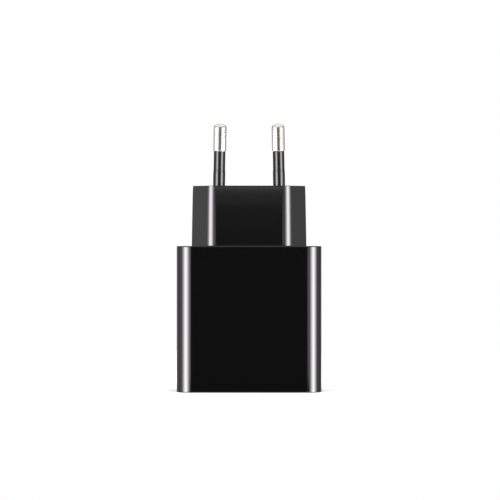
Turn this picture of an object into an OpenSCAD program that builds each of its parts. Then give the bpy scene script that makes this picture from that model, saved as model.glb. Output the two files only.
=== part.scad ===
// USB wall charger with fixed round mains pins.
// A deep case and a plug cover close round a power board, its parts and a USB-A socket.
// Millimetres. +Z runs along the pins, the wide front face looks along -Y, and the origin is
// the middle of the end face that holds the USB socket.

/* [Case] */
// Width of the case
body_w = 44; // [44:0.5:48]
// Depth of the case, front to back
body_d = 25; // [25:0.5:30]
// Height of the case, without the neck
body_h = 44.4; // [44.4:0.2:50]
// Radius of the four upright corners
corner_r = 4.5; // [3.5:0.5:5.5]
// Small rounding of the edges at both ends
edge_r = 0.4; // [0.2:0.1:0.6]
// Thickness of the case walls
wall = 2; // [1.8:0.1:2.2]

/* [Neck] */
// Width of the neck at the case
neck_w = 35.1; // [34.6:0.1:36]
// Depth of the neck at the case
neck_d = 13.7; // [13:0.1:14.4]
// Height of the neck
neck_h = 18.4; // [17:0.2:20]
// Width that each slanted facet takes from the flat face
neck_facet = 5.7; // [5:0.1:6.2]
// Radius between a facet and the flat face
neck_r = 4.5; // [3:0.5:5]
// Draft of the neck's sides, in degrees
neck_draft = 1; // [0.5:0.25:1.5]

/* [Mains pins] */
// Diameter of the bare metal
pin_d = 4; // [3.94:0.02:4.06]
// Length of a pin outside the neck
pin_len = 19.1; // [18.5:0.1:19.5]
// Distance between the pins at the neck
pin_pitch = 18.4; // [18:0.1:19.2]
// Distance between the pins at their tips
pin_tip_pitch = 17.7; // [17:0.1:18]
// Length of the insulating sleeve outside the neck
sleeve_len = 10.65; // [10:0.05:11]
// Diameter of the sleeve near the metal
sleeve_d = 3.55; // [3.4:0.05:3.8]
// Diameter of the sleeve near the neck
sleeve_base_d = 3.7; // [3.6:0.05:3.8]

/* [USB socket] */
// Width of the socket's mouth
usb_w = 12.5; // [12.4:0.1:12.6]
// Height of the socket's mouth
usb_h = 5.12; // [5.06:0.02:5.2]
// Length of the metal shell
usb_len = 13.8; // [13.4:0.1:14.2]
// How far a contact spring stands out of the tongue
contact_rise = 0.54; // [0.4:0.02:0.6]

/* [Power board] */
// Thickness of the board
board_t = 1.2; // [1:0.1:1.6]
// Diameter of the input capacitors
input_cap_d = 8; // [7.4:0.1:8.2]
// Length of the input capacitors
input_cap_len = 14; // [12:0.5:14]
// Diameter of the output capacitors
output_cap_d = 6.3; // [5:0.1:6.4]
// Height of the output capacitors
output_cap_h = 8; // [6:0.5:11]

/* [Hidden] */
$fn = 48;

LEFT = -1;
RIGHT = 1;
SIDES = [LEFT, RIGHT];
eps = 0.1; // overlap that makes two shapes of one piece meet

// Case
face_z = body_h + neck_h; // plane of the neck's end face, which rests on the socket outlet
plate_t = 2; // closing plate of the cover
rim_t = 1.4; // rim of the case round the closing plate
plate_gap = 0.1; // gap all round the closing plate
skirt_gap = 0.1;
skirt_t = 1.2;
skirt_h = 5;
snap_x = 10; // the snaps sit this far each side of the middle
snap_w = 5;
snap_out = 0.5; // reach of a snap beyond the skirt
snap_z = body_h - plate_t - 4;
cavity_w = body_w - 2 * wall;
cavity_d = body_d - 2 * wall;
cavity_r = corner_r - wall;

// Neck
neck_wall = 1.8;
neck_top_t = 2;
boss_r = 3.3;
boss_len = 6.8; // from the end face down to the end of a pin's boss
neck_in = neck_h * tan(neck_draft); // how far each side has come in at the end face

// Pins, measured from the neck's end face
pin_r = pin_d / 2;
tip_round = 1.2;
core_r = 1.3; // pin inside its sleeve
sleeve_root = 1; // the sleeve starts this deep in the neck
relief_gap = 0.2; // shallow ring that the mould leaves round each sleeve
relief_depth = 0.3;
groove_depth = 0.3;
strap_t = 0.6;
rivet_r = 1.9;
rivet_t = 0.8;
tail_r = 1.25;
pin_lean = atan((pin_pitch - pin_tip_pitch) / 2 / pin_len);

// USB socket, centred on the end face
usb_t = 0.3; // sheet thickness of the shell
usb_mouth_z = 0.5;
usb_rear_z = usb_mouth_z + usb_len;
tongue_w = 11.1;
tongue_t = 1.84;
tongue_y = -usb_h / 2 + 0.65; // face of the tongue that looks away from the board
tongue_tip_z = usb_mouth_z + 0.9;
block_z = usb_rear_z - 4; // front of the rear block that carries the contacts
contact_face_y = tongue_y + tongue_t;
contact_w = 1;
contact_t = 0.25;
contact_root_y = contact_face_y - 0.38;
contact_root_z = block_z - 0.2; // a contact's spring turns about its rounded root here
slot_w = contact_w + 0.2;
slot_depth = 1.23;
contact_x = [-3.5, -1, 1, 3.5];
tail_w = 0.8;
tail_z = usb_rear_z + 0.525; // middle of the tails behind the socket
leg_z = 8.5;
leg_len = 2;

// Board, parallel to the front face and flush with the socket's outer side
board_y = usb_h / 2 + usb_t;
board_back_y = board_y + board_t;
board_w = cavity_w - 0.6;
board_z = 3;
board_top_z = 36.8;
tab_w = 28;
tab_top_z = 41;
rail_t = 1.4;
rail_w = 1;
rail_top_z = body_h - plate_t - skirt_h - 0.6;
lead_r = 0.3;
lead_hole_r = 0.5;
solder_r = 0.9;
solder_top_r = 0.35;
solder_h = 0.7;

// Places of the parts on the board, as [x, z]
output_cap_x = 12.6;
output_cap_z = 8.6;
output_cap_pitch = 2.5;
input_cap_x = 14.9;
input_cap_z = 25.5;
input_cap_pitch = 2.5;
input_cap_foot = 1; // the leads run this far out of the can before they bend down
input_cap_lift = 0.2;
transformer_z = 25.5;
transformer_lift = 6.2; // middle of the core above the board
transformer_pin_x = 8.4;
transformer_pin_pitch = 5;
choke_z = 37.6;
choke_lead = 2.4;
fuse_site = [-14.6, 34.7];
fuse_span = 3.5;
varistor_site = [14.6, 34.7];
safety_cap_site = [-14, 14.6];
disc_span = 2.5;
opto_site = [13.5, 14.4];
opto_span = [3.81, 1.27];

strap_w = 2.6;
strap_foot_z = 36;

lead_sites = concat(
    [for (s = SIDES, p = SIDES) [s * output_cap_x + p * output_cap_pitch / 2, output_cap_z]],
    [for (s = SIDES, p = SIDES) [s * input_cap_x + p * input_cap_pitch / 2,
                                 input_cap_z - input_cap_len / 2 - input_cap_foot]],
    [for (s = SIDES, k = [-1:1]) [s * transformer_pin_x, transformer_z + k * transformer_pin_pitch]],
    [for (s = SIDES) [s * choke_lead, choke_z]],
    [for (s = SIDES) fuse_site + [s * fuse_span, 0]],
    [for (s = SIDES) varistor_site + [s * disc_span, 0]],
    [for (s = SIDES) safety_cap_site + [s * disc_span, 0]],
    [for (s = SIDES, p = SIDES) opto_site + [s * opto_span[0], p * opto_span[1]]]
);
tail_sites = [for (x = contact_x) [x, tail_z]];
leg_sites = [for (s = SIDES) [s * (usb_w + usb_t) / 2, leg_z + leg_len / 2]];

// Small parts soldered to the back of the board, as [x, z]
chip_resistor_sites = [[-16, 22], [-16, 25], [-13, 22], [-4, 30], [-1, 30], [2, 30], [4, 20], [14, 26]];
chip_capacitor_sites = [[-13, 25], [-4, 33], [4, 23], [14, 29], [0, 10]];

// ---- shared shapes ----

// Flat rectangle with true arcs at its corners
module rounded_rect(w, d, r) {
    square([w - 2 * r, d], center = true);
    square([w, d - 2 * r], center = true);
    for (x = SIDES, y = SIDES)
        translate([x * (w / 2 - r), y * (d / 2 - r)]) circle(r);
}

// Upright block with corner radius r, and edges rounded by e at both ends
module soft_box(w, d, h, r, e) {
    for (x = SIDES, y = SIDES)
        translate([x * (w / 2 - r), y * (d / 2 - r), 0])
            rotate_extrude() {
                square([r - e, h]);
                translate([0, e]) square([r, h - 2 * e]);
                for (z = [e, h - e]) translate([r - e, z]) circle(e);
            }
    translate([0, 0, h / 2]) {
        rotate([90, 0, 0]) linear_extrude(d - 2 * r, center = true) rounded_rect(w, h, e);
        rotate([90, 0, 90]) linear_extrude(w - 2 * r, center = true) rounded_rect(d, h, e);
    }
}

// Closed outline of a bent strip of thickness t, which is measured along the first axis
function strip(line, t) = concat(
    [for (p = line) p + [t / 2, 0]],
    [for (i = [len(line) - 1:-1:0]) line[i] - [t / 2, 0]]
);

// Extrudes an outline of [y, z] points along X, centred on x = 0
module across(w) {
    rotate([90, 0, 90]) linear_extrude(w, center = true) children();
}

// Stands its children on the front of the board at [x, z], with their +Z away from the board
module on_board(site) {
    translate([site[0], board_y, site[1]]) rotate([90, 0, 0]) children();
}

// The same on the back of the board
module on_back(site) {
    translate([site[0], board_back_y, site[1]]) rotate([-90, 0, 0]) children();
}

// Wire from the back of the board up to height h
module lead(x, h) {
    translate([x, 0, -board_t]) cylinder(r = lead_r, h = board_t + h);
}

// ---- case ----

// Quarter of the neck's outline, set in by t from the outside
function neck_quarter(t) =
    let (
        w = neck_w / 2 - t,
        d = neck_d / 2 - t,
        facet = neck_facet - (2 - sqrt(2)) * t,
        r = neck_r - t,
        tip_r = 0.5,
        run = r * tan(22.5),
        tip_run = tip_r * tan(22.5)
    )
    concat(
        [for (a = [0:15:45])
            [w - tip_r + tip_r * cos(a), d - facet - tip_run + tip_r * sin(a)]],
        [for (a = [45:5:90])
            [w - facet - run + r * cos(a), d - r + r * sin(a)]]
    );

function reversed(list) = [for (i = [len(list) - 1:-1:0]) list[i]];

function neck_outline(t) =
    let (q = neck_quarter(t), left = [for (p = reversed(q)) [-p[0], p[1]]], top = concat(q, left))
    concat(top, [for (p = reversed(top)) [p[0], -p[1]]]);

// Drafted block of the neck, set in by t, from height z0 to z1
module neck_block(t, z0, z1) {
    slice = 0.01;
    hull() {
        translate([0, 0, z0]) linear_extrude(slice)
            polygon(neck_outline(t + (z0 - body_h) * tan(neck_draft)));
        translate([0, 0, z1 - slice]) linear_extrude(slice)
            polygon(neck_outline(t + (z1 - body_h) * tan(neck_draft)));
    }
}

// Puts its children in a pin's own frame, with the origin in the neck's end face
module at_pin(side) {
    translate([side * pin_pitch / 2, 0, face_z]) rotate([0, -side * pin_lean, 0]) children();
}

// Wedge of one snap, or of its pocket when grown by g
module snap_wedges(g) {
    skirt_y = cavity_d / 2 - skirt_gap;
    for (x = SIDES, y = SIDES)
        translate([x * snap_x, y * skirt_y, snap_z])
            mirror([0, y < 0 ? 1 : 0, 0])
                across(snap_w + 2 * g)
                    polygon([
                        [-0.3, -1 - g], [snap_out + g, 0.2 - g],
                        [snap_out + g, 0.4 + g], [-0.3, 0.4 + g]
                    ]);
}

module case_body() {
    plate_w = body_w - 2 * rim_t;
    plate_d = body_d - 2 * rim_t;
    color("#141415") difference() {
        union() {
            difference() {
                soft_box(body_w, body_d, body_h, corner_r, edge_r);
                translate([0, 0, wall]) linear_extrude(body_h) rounded_rect(cavity_w, cavity_d, cavity_r);
            }
            // rails that hold the board's edges
            for (x = SIDES, y = [board_y - 0.1 - rail_t, board_back_y + 0.1])
                translate([x > 0 ? cavity_w / 2 - rail_w : -cavity_w / 2 - eps, y, wall - eps])
                    cube([rail_w + eps, rail_t, rail_top_z - wall + eps]);
        }
        // seat of the closing plate
        translate([0, 0, body_h - plate_t])
            linear_extrude(plate_t + 1) rounded_rect(plate_w, plate_d, corner_r - rim_t);
        snap_wedges(0.1);
        // window of the USB socket, in a shallow recess
        translate([0, 0, -1]) linear_extrude(wall + 2)
            rounded_rect(usb_w + 2 * usb_t + 0.5, usb_h + 2 * usb_t + 0.5, 1);
        translate([0, 0, -1]) linear_extrude(usb_mouth_z + 1)
            rounded_rect(usb_w + 2 * usb_t + 2.6, usb_h + 2 * usb_t + 2.6, 2);
    }
}

module plug_cover() {
    plate_w = body_w - 2 * (rim_t + plate_gap);
    plate_d = body_d - 2 * (rim_t + plate_gap);
    skirt_w = cavity_w - 2 * skirt_gap;
    skirt_d = cavity_d - 2 * skirt_gap;
    skirt_z = body_h - plate_t - skirt_h;
    color("#1b1a1c") difference() {
        union() {
            difference() {
                union() {
                    translate([0, 0, body_h - plate_t]) linear_extrude(plate_t)
                        rounded_rect(plate_w, plate_d, corner_r - rim_t - plate_gap);
                    translate([0, 0, skirt_z]) linear_extrude(skirt_h + eps)
                        rounded_rect(skirt_w, skirt_d, cavity_r - skirt_gap);
                    snap_wedges(0);
                    neck_block(0, body_h, face_z);
                }
                translate([0, 0, skirt_z - 1]) linear_extrude(skirt_h + 1)
                    rounded_rect(
                        skirt_w - 2 * skirt_t, skirt_d - 2 * skirt_t, cavity_r - skirt_gap - skirt_t
                    );
                neck_block(neck_wall, body_h - plate_t - 1, face_z - neck_top_t);
            }
            for (side = SIDES)
                at_pin(side) translate([0, 0, -boss_len]) cylinder(r = boss_r, h = boss_len - 1);
            // rib between the two bosses
            translate([-pin_pitch / 2, -0.6, face_z - boss_len + 0.5])
                cube([pin_pitch, 1.2, boss_len - neck_top_t]);
        }
        for (side = SIDES) at_pin(side) {
            rotate_extrude() pin_profile();
            rotate_extrude() sleeve_profile();
            translate([0, 0, -relief_depth]) cylinder(r = sleeve_base_d / 2 + relief_gap, h = 2);
        }
    }
}

// Thin sheet between the soldered side of the board and the back wall
module insulation_sheet() {
    sheet_t = 0.25;
    sheet_h = 33;
    color("#d9d6c4") translate([0, cavity_d / 2 - sheet_t / 2, wall + 1 + sheet_h / 2])
        rotate([90, 0, 0]) linear_extrude(sheet_t, center = true) rounded_rect(cavity_w - 6, sheet_h, 1);
}

// ---- mains pins ----

// Half section of a pin: rivet tail, grooved root, thin core under the sleeve, bare end with a round tip
module pin_profile() {
    rivet_z = -boss_len - strap_t - rivet_t;
    difference() {
        union() {
            translate([0, rivet_z]) square([rivet_r, rivet_t]);
            translate([0, rivet_z]) square([tail_r, rivet_t + strap_t + eps]);
            translate([0, -boss_len]) square([pin_r, boss_len - sleeve_root]);
            translate([0, -sleeve_root - eps]) square([core_r, sleeve_len + sleeve_root + 2 * eps]);
            translate([0, sleeve_len]) square([pin_r, pin_len - sleeve_len - tip_round]);
            translate([0, sleeve_len]) square([pin_r - tip_round, pin_len - sleeve_len]);
            intersection() {
                translate([pin_r - tip_round, pin_len - tip_round]) circle(tip_round);
                translate([0, pin_len - tip_round - 1]) square([pin_r, tip_round + 2]);
            }
        }
        for (z = [-5.4, -3.6]) translate([pin_r - groove_depth, z]) square([1, 0.8]);
    }
}

// Half section of a sleeve: thicker near the neck, then a short taper
module sleeve_profile() {
    base_r = sleeve_base_d / 2;
    top_r = sleeve_d / 2;
    polygon([
        [core_r, -sleeve_root], [base_r, -sleeve_root], [base_r, 4.2], [top_r, 5.2],
        [top_r, sleeve_len], [core_r, sleeve_len]
    ]);
}

module mains_pin(side) {
    color("#d8d6d2") at_pin(side) rotate_extrude() pin_profile();
}

module pin_sleeve(side) {
    color("#232225") at_pin(side) rotate_extrude() sleeve_profile();
}

// Brass strip that is riveted to a pin and soldered to the board
module pin_strap(side) {
    eye_r = 2.6;
    bend_z = face_z - boss_len - strap_t;
    color("#c9a227") {
        at_pin(side) translate([0, 0, -boss_len - strap_t]) difference() {
            union() {
                cylinder(r = eye_r, h = strap_t);
                translate([-strap_w / 2 - 0.4, 0, 0]) cube([strap_w + 0.8, board_y - 0.1, strap_t]);
            }
            translate([0, 0, -1]) cylinder(r = tail_r, h = 3);
        }
        translate([side * pin_pitch / 2 - strap_w / 2, board_y - 0.5, strap_foot_z])
            cube([strap_w, 0.5, bend_z - strap_foot_z + 0.3]);
    }
}

// ---- power board ----

module power_board() {
    color("#2f6b3a") difference() {
        union() {
            translate([-board_w / 2, board_y, board_z]) cube([board_w, board_t, board_top_z - board_z]);
            translate([-tab_w / 2, board_y, board_top_z - eps])
                cube([tab_w, board_t, tab_top_z - board_top_z + eps]);
        }
        for (site = lead_sites)
            on_board(site) translate([0, 0, -board_t - 1]) cylinder(r = lead_hole_r, h = board_t + 2);
        for (site = tail_sites)
            on_board(site) translate([0, 0, -board_t - 1]) cylinder(r = 0.6, h = board_t + 2);
        for (site = leg_sites)
            on_board(site) cube([usb_t + 0.2, leg_len + 0.2, 3 * board_t], center = true);
    }
}

module solder_joints() {
    color("#b9bcc0") {
        for (site = concat(lead_sites, tail_sites))
            on_back(site) cylinder(r1 = solder_r, r2 = solder_top_r, h = solder_h);
        for (site = leg_sites)
            on_back(site) cylinder(r1 = solder_r + 0.5, r2 = solder_top_r + 0.3, h = solder_h);
    }
}

// ---- mains side ----

module fuse_resistor() {
    body_r = 1.7;
    body_len = 5.6;
    lift = body_r + 0.4;
    color("#7d8f6a") on_board(fuse_site) {
        translate([0, 0, lift]) rotate([0, 90, 0]) {
            cylinder(r = body_r - 0.2, h = body_len, center = true);
            for (z = SIDES) translate([0, 0, z * (body_len / 2 - 0.8)])
                cylinder(r = body_r, h = 1.6, center = true);
            cylinder(r = lead_r, h = 2 * fuse_span, center = true);
        }
        for (x = SIDES) {
            lead(x * fuse_span, lift);
            translate([x * fuse_span, 0, lift]) sphere(r = lead_r);
        }
    }
}

// Dipped disc on two straight leads, its flat sides across the board
module dipped_disc(d, t) {
    edge = t / 2;
    translate([0, 0, d / 2 + 1]) rotate([90, 0, 0])
        rotate_extrude() {
            translate([0, -t / 2]) square([d / 2 - edge, t]);
            translate([d / 2 - edge, 0]) intersection() {
                circle(edge);
                translate([0, -edge]) square([edge, 2 * edge]);
            }
        }
    for (x = SIDES) lead(x * disc_span, d / 2);
}

module surge_varistor() {
    color("#2b5fa8") on_board(varistor_site) dipped_disc(6.6, 2.8);
}

module safety_capacitor() {
    color("#3f7fc4") on_board(safety_cap_site) dipped_disc(7, 3);
}

choke_flange_r = 3.2;
choke_waist_r = 1.6;
choke_z0 = 0.2;
choke_flange_t = 1;
choke_h = 6.6;

module line_choke_core() {
    color("#3a3a3c") on_board([0, choke_z]) difference() {
        translate([0, 0, choke_z0]) {
            for (z = [0, choke_h - choke_flange_t])
                translate([0, 0, z]) cylinder(r = choke_flange_r, h = choke_flange_t);
            cylinder(r = choke_waist_r, h = choke_h);
        }
        for (x = SIDES) translate([x * choke_lead, 0, 0]) cylinder(r = lead_r, h = choke_z0 + choke_flange_t);
    }
}

module line_choke_winding() {
    color("#b5652b") on_board([0, choke_z]) {
        translate([0, 0, choke_z0 + choke_flange_t]) difference() {
            cylinder(r = choke_flange_r - 0.4, h = choke_h - 2 * choke_flange_t);
            translate([0, 0, -1]) cylinder(r = choke_waist_r, h = choke_h);
        }
        for (x = SIDES) lead(x * choke_lead, choke_z0 + choke_flange_t + eps);
    }
}

// Flat moulded package with gull-wing legs along both long sides
module leg_package(size, legs, pitch) {
    foot = 0.9;
    translate([-size[0] / 2, -size[1] / 2, 0.1]) cube(size);
    for (s = SIDES, i = [0:legs - 1])
        translate([(i - (legs - 1) / 2) * pitch, s * size[1] / 2, 0]) {
            translate([-0.2, s > 0 ? -eps : -foot, 0]) cube([0.4, foot + eps, 0.2]);
            translate([-0.2, s > 0 ? -eps : -0.4, 0]) cube([0.4, 0.4 + eps, 0.8]);
        }
}

module bridge_rectifier() {
    color("#1e1e20") on_back([0, 35]) leg_package([4.7, 4, 1.6], 2, 2.54);
}

module controller_chip() {
    color("#1e1e20") on_back([-13, 29]) leg_package([4.9, 3.9, 1.5], 4, 1.27);
}

module output_rectifier() {
    color("#1e1e20") on_back([0, 20]) leg_package([4.9, 3.9, 1.5], 4, 1.27);
}

module chip_resistors() {
    color("#222224") for (site = chip_resistor_sites)
        on_back(site) translate([-1, -0.6, 0]) cube([2, 1.25, 0.55]);
}

module chip_capacitors() {
    color("#b08d62") for (site = chip_capacitor_sites)
        on_back(site) translate([-0.8, -0.4, 0]) cube([1.6, 0.8, 0.8]);
}

// Half section of a capacitor's can, open end at 0, with a rolled groove near it
function can_section(r, h, seal_r) = [
    [seal_r, 0], [r, 0], [r, 1.6], [r - 0.4, 1.9], [r - 0.4, 2.2], [r, 2.5],
    [r, h - 0.3], [r - 0.3, h], [0, h], [0, 1.4], [seal_r, 1.4]
];

input_can_r = input_cap_d / 2 - 0.15;
seal_inset = 0.8;

// Lays its children on the board with the can's open end at the lower side
module lying_can(side) {
    on_board([side * input_cap_x, input_cap_z])
        translate([0, -input_cap_len / 2, input_cap_d / 2 + input_cap_lift]) rotate([-90, 0, 0]) children();
}

module input_capacitor_can(side) {
    color("#a9adb2") lying_can(side) rotate_extrude()
        polygon(can_section(input_can_r, input_cap_len - 0.15, input_can_r - seal_inset));
}

module input_capacitor_sleeve(side) {
    h = input_cap_len - 0.15;
    r = input_can_r;
    t = 0.15;
    color("#26282c") lying_can(side) rotate_extrude()
        polygon([[r, 0], [r + t, 0], [r + t, h + t], [r - 1, h + t], [r - 1, h], [r - 0.3, h], [r, h - 0.3]]);
}

// Rubber seal with the two leads that pass through it
module input_capacitor_seal(side) {
    foot_y = -input_cap_len / 2 - input_cap_foot;
    axis_h = input_cap_d / 2 + input_cap_lift;
    color("#3a3a3a") {
        lying_can(side) cylinder(r = input_can_r - seal_inset, h = 1.4);
        on_board([side * input_cap_x, input_cap_z])
            for (p = SIDES) translate([p * input_cap_pitch / 2, foot_y, 0]) {
                translate([0, 0, axis_h]) rotate([-90, 0, 0]) cylinder(r = lead_r, h = input_cap_foot + eps);
                translate([0, 0, axis_h]) sphere(r = lead_r);
                lead(0, axis_h);
            }
    }
}

// ---- transformer ----

core_w = 16.2; // both halves together
core_l = 16;
core_t = 4.8;
core_leg = 2.2;
core_centre = 4.4;
bobbin_wall = 0.8;
bobbin_gap = 0.05;
bobbin_flange_x = 5;
bobbin_w = 11.6;
winding_half = bobbin_flange_x - 0.1;
tube_y = core_centre / 2 + bobbin_gap + bobbin_wall;
tube_z = core_t / 2 + bobbin_gap + bobbin_wall;

// Puts its children in the core's frame: X through the centre leg, Z away from the board
module at_transformer() {
    on_board([0, transformer_z]) translate([0, 0, transformer_lift]) children();
}

module transformer_core(side) {
    window_x = core_w / 2 - core_leg;
    color("#4a4a4d") at_transformer() mirror([side < 0 ? 1 : 0, 0, 0]) difference() {
        translate([0, -core_l / 2, -core_t / 2]) cube([core_w / 2, core_l, core_t]);
        for (y = [core_centre / 2, -core_l / 2 + core_leg])
            translate([-1, y, -core_t])
                cube([window_x + 1, (core_l - core_centre) / 2 - core_leg, 2 * core_t]);
    }
}

module transformer_bobbin() {
    foot = 0.6 - transformer_lift; // underside of the rails above the board
    flange_top = 5.6;
    rail_h = 3;
    flange_y = 5.6;
    rail_end = 9.2;
    rail_y = 7.6;
    color("#e8e4da") difference() {
        at_transformer() difference() {
            union() {
                translate([-bobbin_w / 2, -tube_y, -tube_z]) cube([bobbin_w, 2 * tube_y, 2 * tube_z]);
                for (s = SIDES) mirror([s < 0 ? 1 : 0, 0, 0]) {
                    translate([bobbin_flange_x, -flange_y, foot])
                        cube([bobbin_w / 2 - bobbin_flange_x, 2 * flange_y, flange_top - foot]);
                    translate([bobbin_flange_x, -rail_y, foot])
                        cube([rail_end - bobbin_flange_x, 2 * rail_y, rail_h]);
                }
            }
            translate([-bobbin_w, -core_centre / 2 - bobbin_gap, -core_t / 2 - bobbin_gap])
                cube([2 * bobbin_w, core_centre + 2 * bobbin_gap, core_t + 2 * bobbin_gap]);
        }
        transformer_pin_rods();
    }
}

module transformer_pin_rods() {
    for (s = SIDES, k = [-1:1])
        on_board([s * transformer_pin_x, transformer_z + k * transformer_pin_pitch])
            translate([0, 0, -board_t]) cylinder(r = 0.35, h = board_t + 2.6);
}

module transformer_pins() {
    color("#c8c8ca") transformer_pin_rods();
}

// One layer wound round the bobbin's tube, between two offsets from it
module winding_layer(inner, outer) {
    at_transformer() rotate([90, 0, 90]) linear_extrude(2 * winding_half, center = true) difference() {
        rounded_rect(2 * (tube_y + outer), 2 * (tube_z + outer), max(outer, 0.1));
        if (inner > 0) rounded_rect(2 * (tube_y + inner), 2 * (tube_z + inner), inner);
        else square([2 * tube_y, 2 * tube_z], center = true);
    }
}

module transformer_primary() {
    color("#b5652b") winding_layer(0, 1.1);
}

module transformer_secondary() {
    color("#d98f3c") winding_layer(1.1, 1.95);
}

module transformer_winding_tape() {
    color("#e6c52e") winding_layer(1.95, 2.1);
}

module transformer_core_tape() {
    tape_t = 0.15;
    tape_w = 4.4;
    color("#e6c52e") at_transformer() linear_extrude(tape_w, center = true) difference() {
        rounded_rect(core_w + 2 * tape_t, core_l + 2 * tape_t, tape_t);
        square([core_w, core_l], center = true);
    }
}

// ---- output side ----

module optocoupler() {
    body = [6.5, 4.6, 3.5];
    color("#e9e7e2") on_board(opto_site) {
        translate([-body[0] / 2, -body[1] / 2, 0.5]) cube(body);
        for (x = SIDES, y = SIDES) translate([x * opto_span[0], y * opto_span[1], 0]) {
            lead(0, 2.2);
            translate([x > 0 ? -0.8 : -lead_r, -lead_r, 1.9]) cube([0.8 + lead_r, 2 * lead_r, 0.3]);
        }
    }
}

output_can_lift = 0.3;
output_seal_r = output_cap_d / 2 - seal_inset;

module output_capacitor_can(side) {
    color("#c3c7cc") on_board([side * output_cap_x, output_cap_z])
        translate([0, 0, output_can_lift]) rotate_extrude()
            polygon(can_section(output_cap_d / 2, output_cap_h, output_seal_r));
}

module output_capacitor_seal(side) {
    color("#3a3a3a") on_board([side * output_cap_x, output_cap_z]) {
        translate([0, 0, output_can_lift]) cylinder(r = output_seal_r, h = 1.4);
        for (p = SIDES) lead(p * output_cap_pitch / 2, output_can_lift + eps);
    }
}

// ---- USB socket ----

leaf_x = 3.2;
leaf_w = 1.8;
leaf_root_z = 9.2;
leaf_tip_z = 3.6;

// Shell of folded sheet, with two spring leaves in each wide side and two legs into the board
module usb_shell() {
    wall_y = (usb_h + usb_t) / 2;
    leaf_in = 0.35;
    leaf = [
        [wall_y, leaf_root_z + 0.2], [wall_y, leaf_root_z - 0.3], [wall_y - leaf_in, 5],
        [wall_y - leaf_in, 4.3], [wall_y - 0.15, leaf_tip_z]
    ];
    color("#c9ccd0") {
        difference() {
            translate([0, 0, usb_mouth_z]) linear_extrude(usb_len) difference() {
                rounded_rect(usb_w + 2 * usb_t, usb_h + 2 * usb_t, 0.9);
                rounded_rect(usb_w, usb_h, 0.6);
            }
            for (x = SIDES)
                translate([x * leaf_x - leaf_w / 2 - 0.4, -usb_h, leaf_tip_z - 0.4])
                    cube([leaf_w + 0.8, 2 * usb_h, leaf_root_z - leaf_tip_z + 0.4]);
        }
        for (x = SIDES, y = SIDES)
            translate([x * leaf_x, 0, 0])
                mirror([0, y < 0 ? 1 : 0, 0])
                    across(leaf_w) polygon(strip(leaf, usb_t));
        for (x = SIDES)
            translate([x * (usb_w + usb_t) / 2 - usb_t / 2, 1, leg_z])
                cube([usb_t, board_back_y - 1, leg_len]);
    }
}

// Rear block and tongue, with a slot for each contact spring
module usb_insulator() {
    gap = 0.05;
    tip_bevel = 0.38;
    color("#ecebe6") difference() {
        union() {
            translate([0, 0, block_z]) linear_extrude(usb_rear_z - 0.1 - block_z)
                rounded_rect(usb_w - 2 * gap, usb_h - 2 * gap, 0.5);
            across(tongue_w) polygon([
                [tongue_y, tongue_tip_z + tip_bevel], [tongue_y + tip_bevel, tongue_tip_z],
                [contact_face_y - tip_bevel, tongue_tip_z], [contact_face_y, tongue_tip_z + tip_bevel],
                [contact_face_y, block_z + eps], [tongue_y, block_z + eps]
            ]);
        }
        for (x = contact_x) {
            translate([x - slot_w / 2, contact_face_y - slot_depth, tongue_tip_z + 0.5])
                cube([slot_w, slot_depth + 1, block_z - tongue_tip_z - 0.5]);
            translate([x, 0, 0]) contact_tail();
        }
    }
}

// Fixed rear part of a contact: through the block, then down into the board
module contact_tail() {
    y0 = contact_root_y - contact_t / 2;
    y1 = contact_root_y + contact_t / 2;
    z1 = tail_z - contact_t / 2;
    z2 = tail_z + contact_t / 2;
    across(tail_w) polygon([
        [y0, block_z], [y1, block_z], [y1, z1], [board_back_y, z1], [board_back_y, z2], [y0, z2]
    ]);
}

module usb_contact_tails() {
    color("#cfae4a") for (x = contact_x) translate([x, 0, 0]) contact_tail();
}

// Free spring of a contact: rises out of its slot to a crest, and dips back in near the tongue's tip
module usb_contact(index) {
    crest_y = contact_face_y + contact_rise - contact_t / 2;
    line = [
        [contact_root_y, contact_root_z], [contact_root_y, contact_root_z - 0.9], [crest_y, 4.4],
        [crest_y, 3.9], [contact_root_y + 0.1, 2.4]
    ];
    color("#d8b23a") translate([contact_x[index], 0, 0]) across(contact_w) {
        polygon(strip(line, contact_t));
        translate(line[0]) circle(contact_t / 2);
    }
}

// ---- one line for each node ----

case_body();
plug_cover();
insulation_sheet();
mains_pin(LEFT);  // mains_pin_left
mains_pin(RIGHT);  // mains_pin_right
pin_sleeve(LEFT);  // pin_sleeve_left
pin_sleeve(RIGHT);  // pin_sleeve_right
pin_strap(LEFT);  // pin_strap_left
pin_strap(RIGHT);  // pin_strap_right
power_board();
solder_joints();
fuse_resistor();
surge_varistor();
line_choke_core();
line_choke_winding();
bridge_rectifier();
input_capacitor_can(LEFT);  // input_capacitor_can_left
input_capacitor_can(RIGHT);  // input_capacitor_can_right
input_capacitor_sleeve(LEFT);  // input_capacitor_sleeve_left
input_capacitor_sleeve(RIGHT);  // input_capacitor_sleeve_right
input_capacitor_seal(LEFT);  // input_capacitor_seal_left
input_capacitor_seal(RIGHT);  // input_capacitor_seal_right
transformer_core(LEFT);  // transformer_core_left
transformer_core(RIGHT);  // transformer_core_right
transformer_bobbin();
transformer_pins();
transformer_primary();
transformer_secondary();
transformer_winding_tape();
transformer_core_tape();
controller_chip();
optocoupler();
safety_capacitor();
chip_resistors();
chip_capacitors();
output_rectifier();
output_capacitor_can(LEFT);  // output_capacitor_can_left
output_capacitor_can(RIGHT);  // output_capacitor_can_right
output_capacitor_seal(LEFT);  // output_capacitor_seal_left
output_capacitor_seal(RIGHT);  // output_capacitor_seal_right
usb_shell();
usb_insulator();
usb_contact_tails();
usb_contact(0);  // usb_contact_power
usb_contact(1);  // usb_contact_data_minus
usb_contact(2);  // usb_contact_data_plus
usb_contact(3);  // usb_contact_ground
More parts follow.
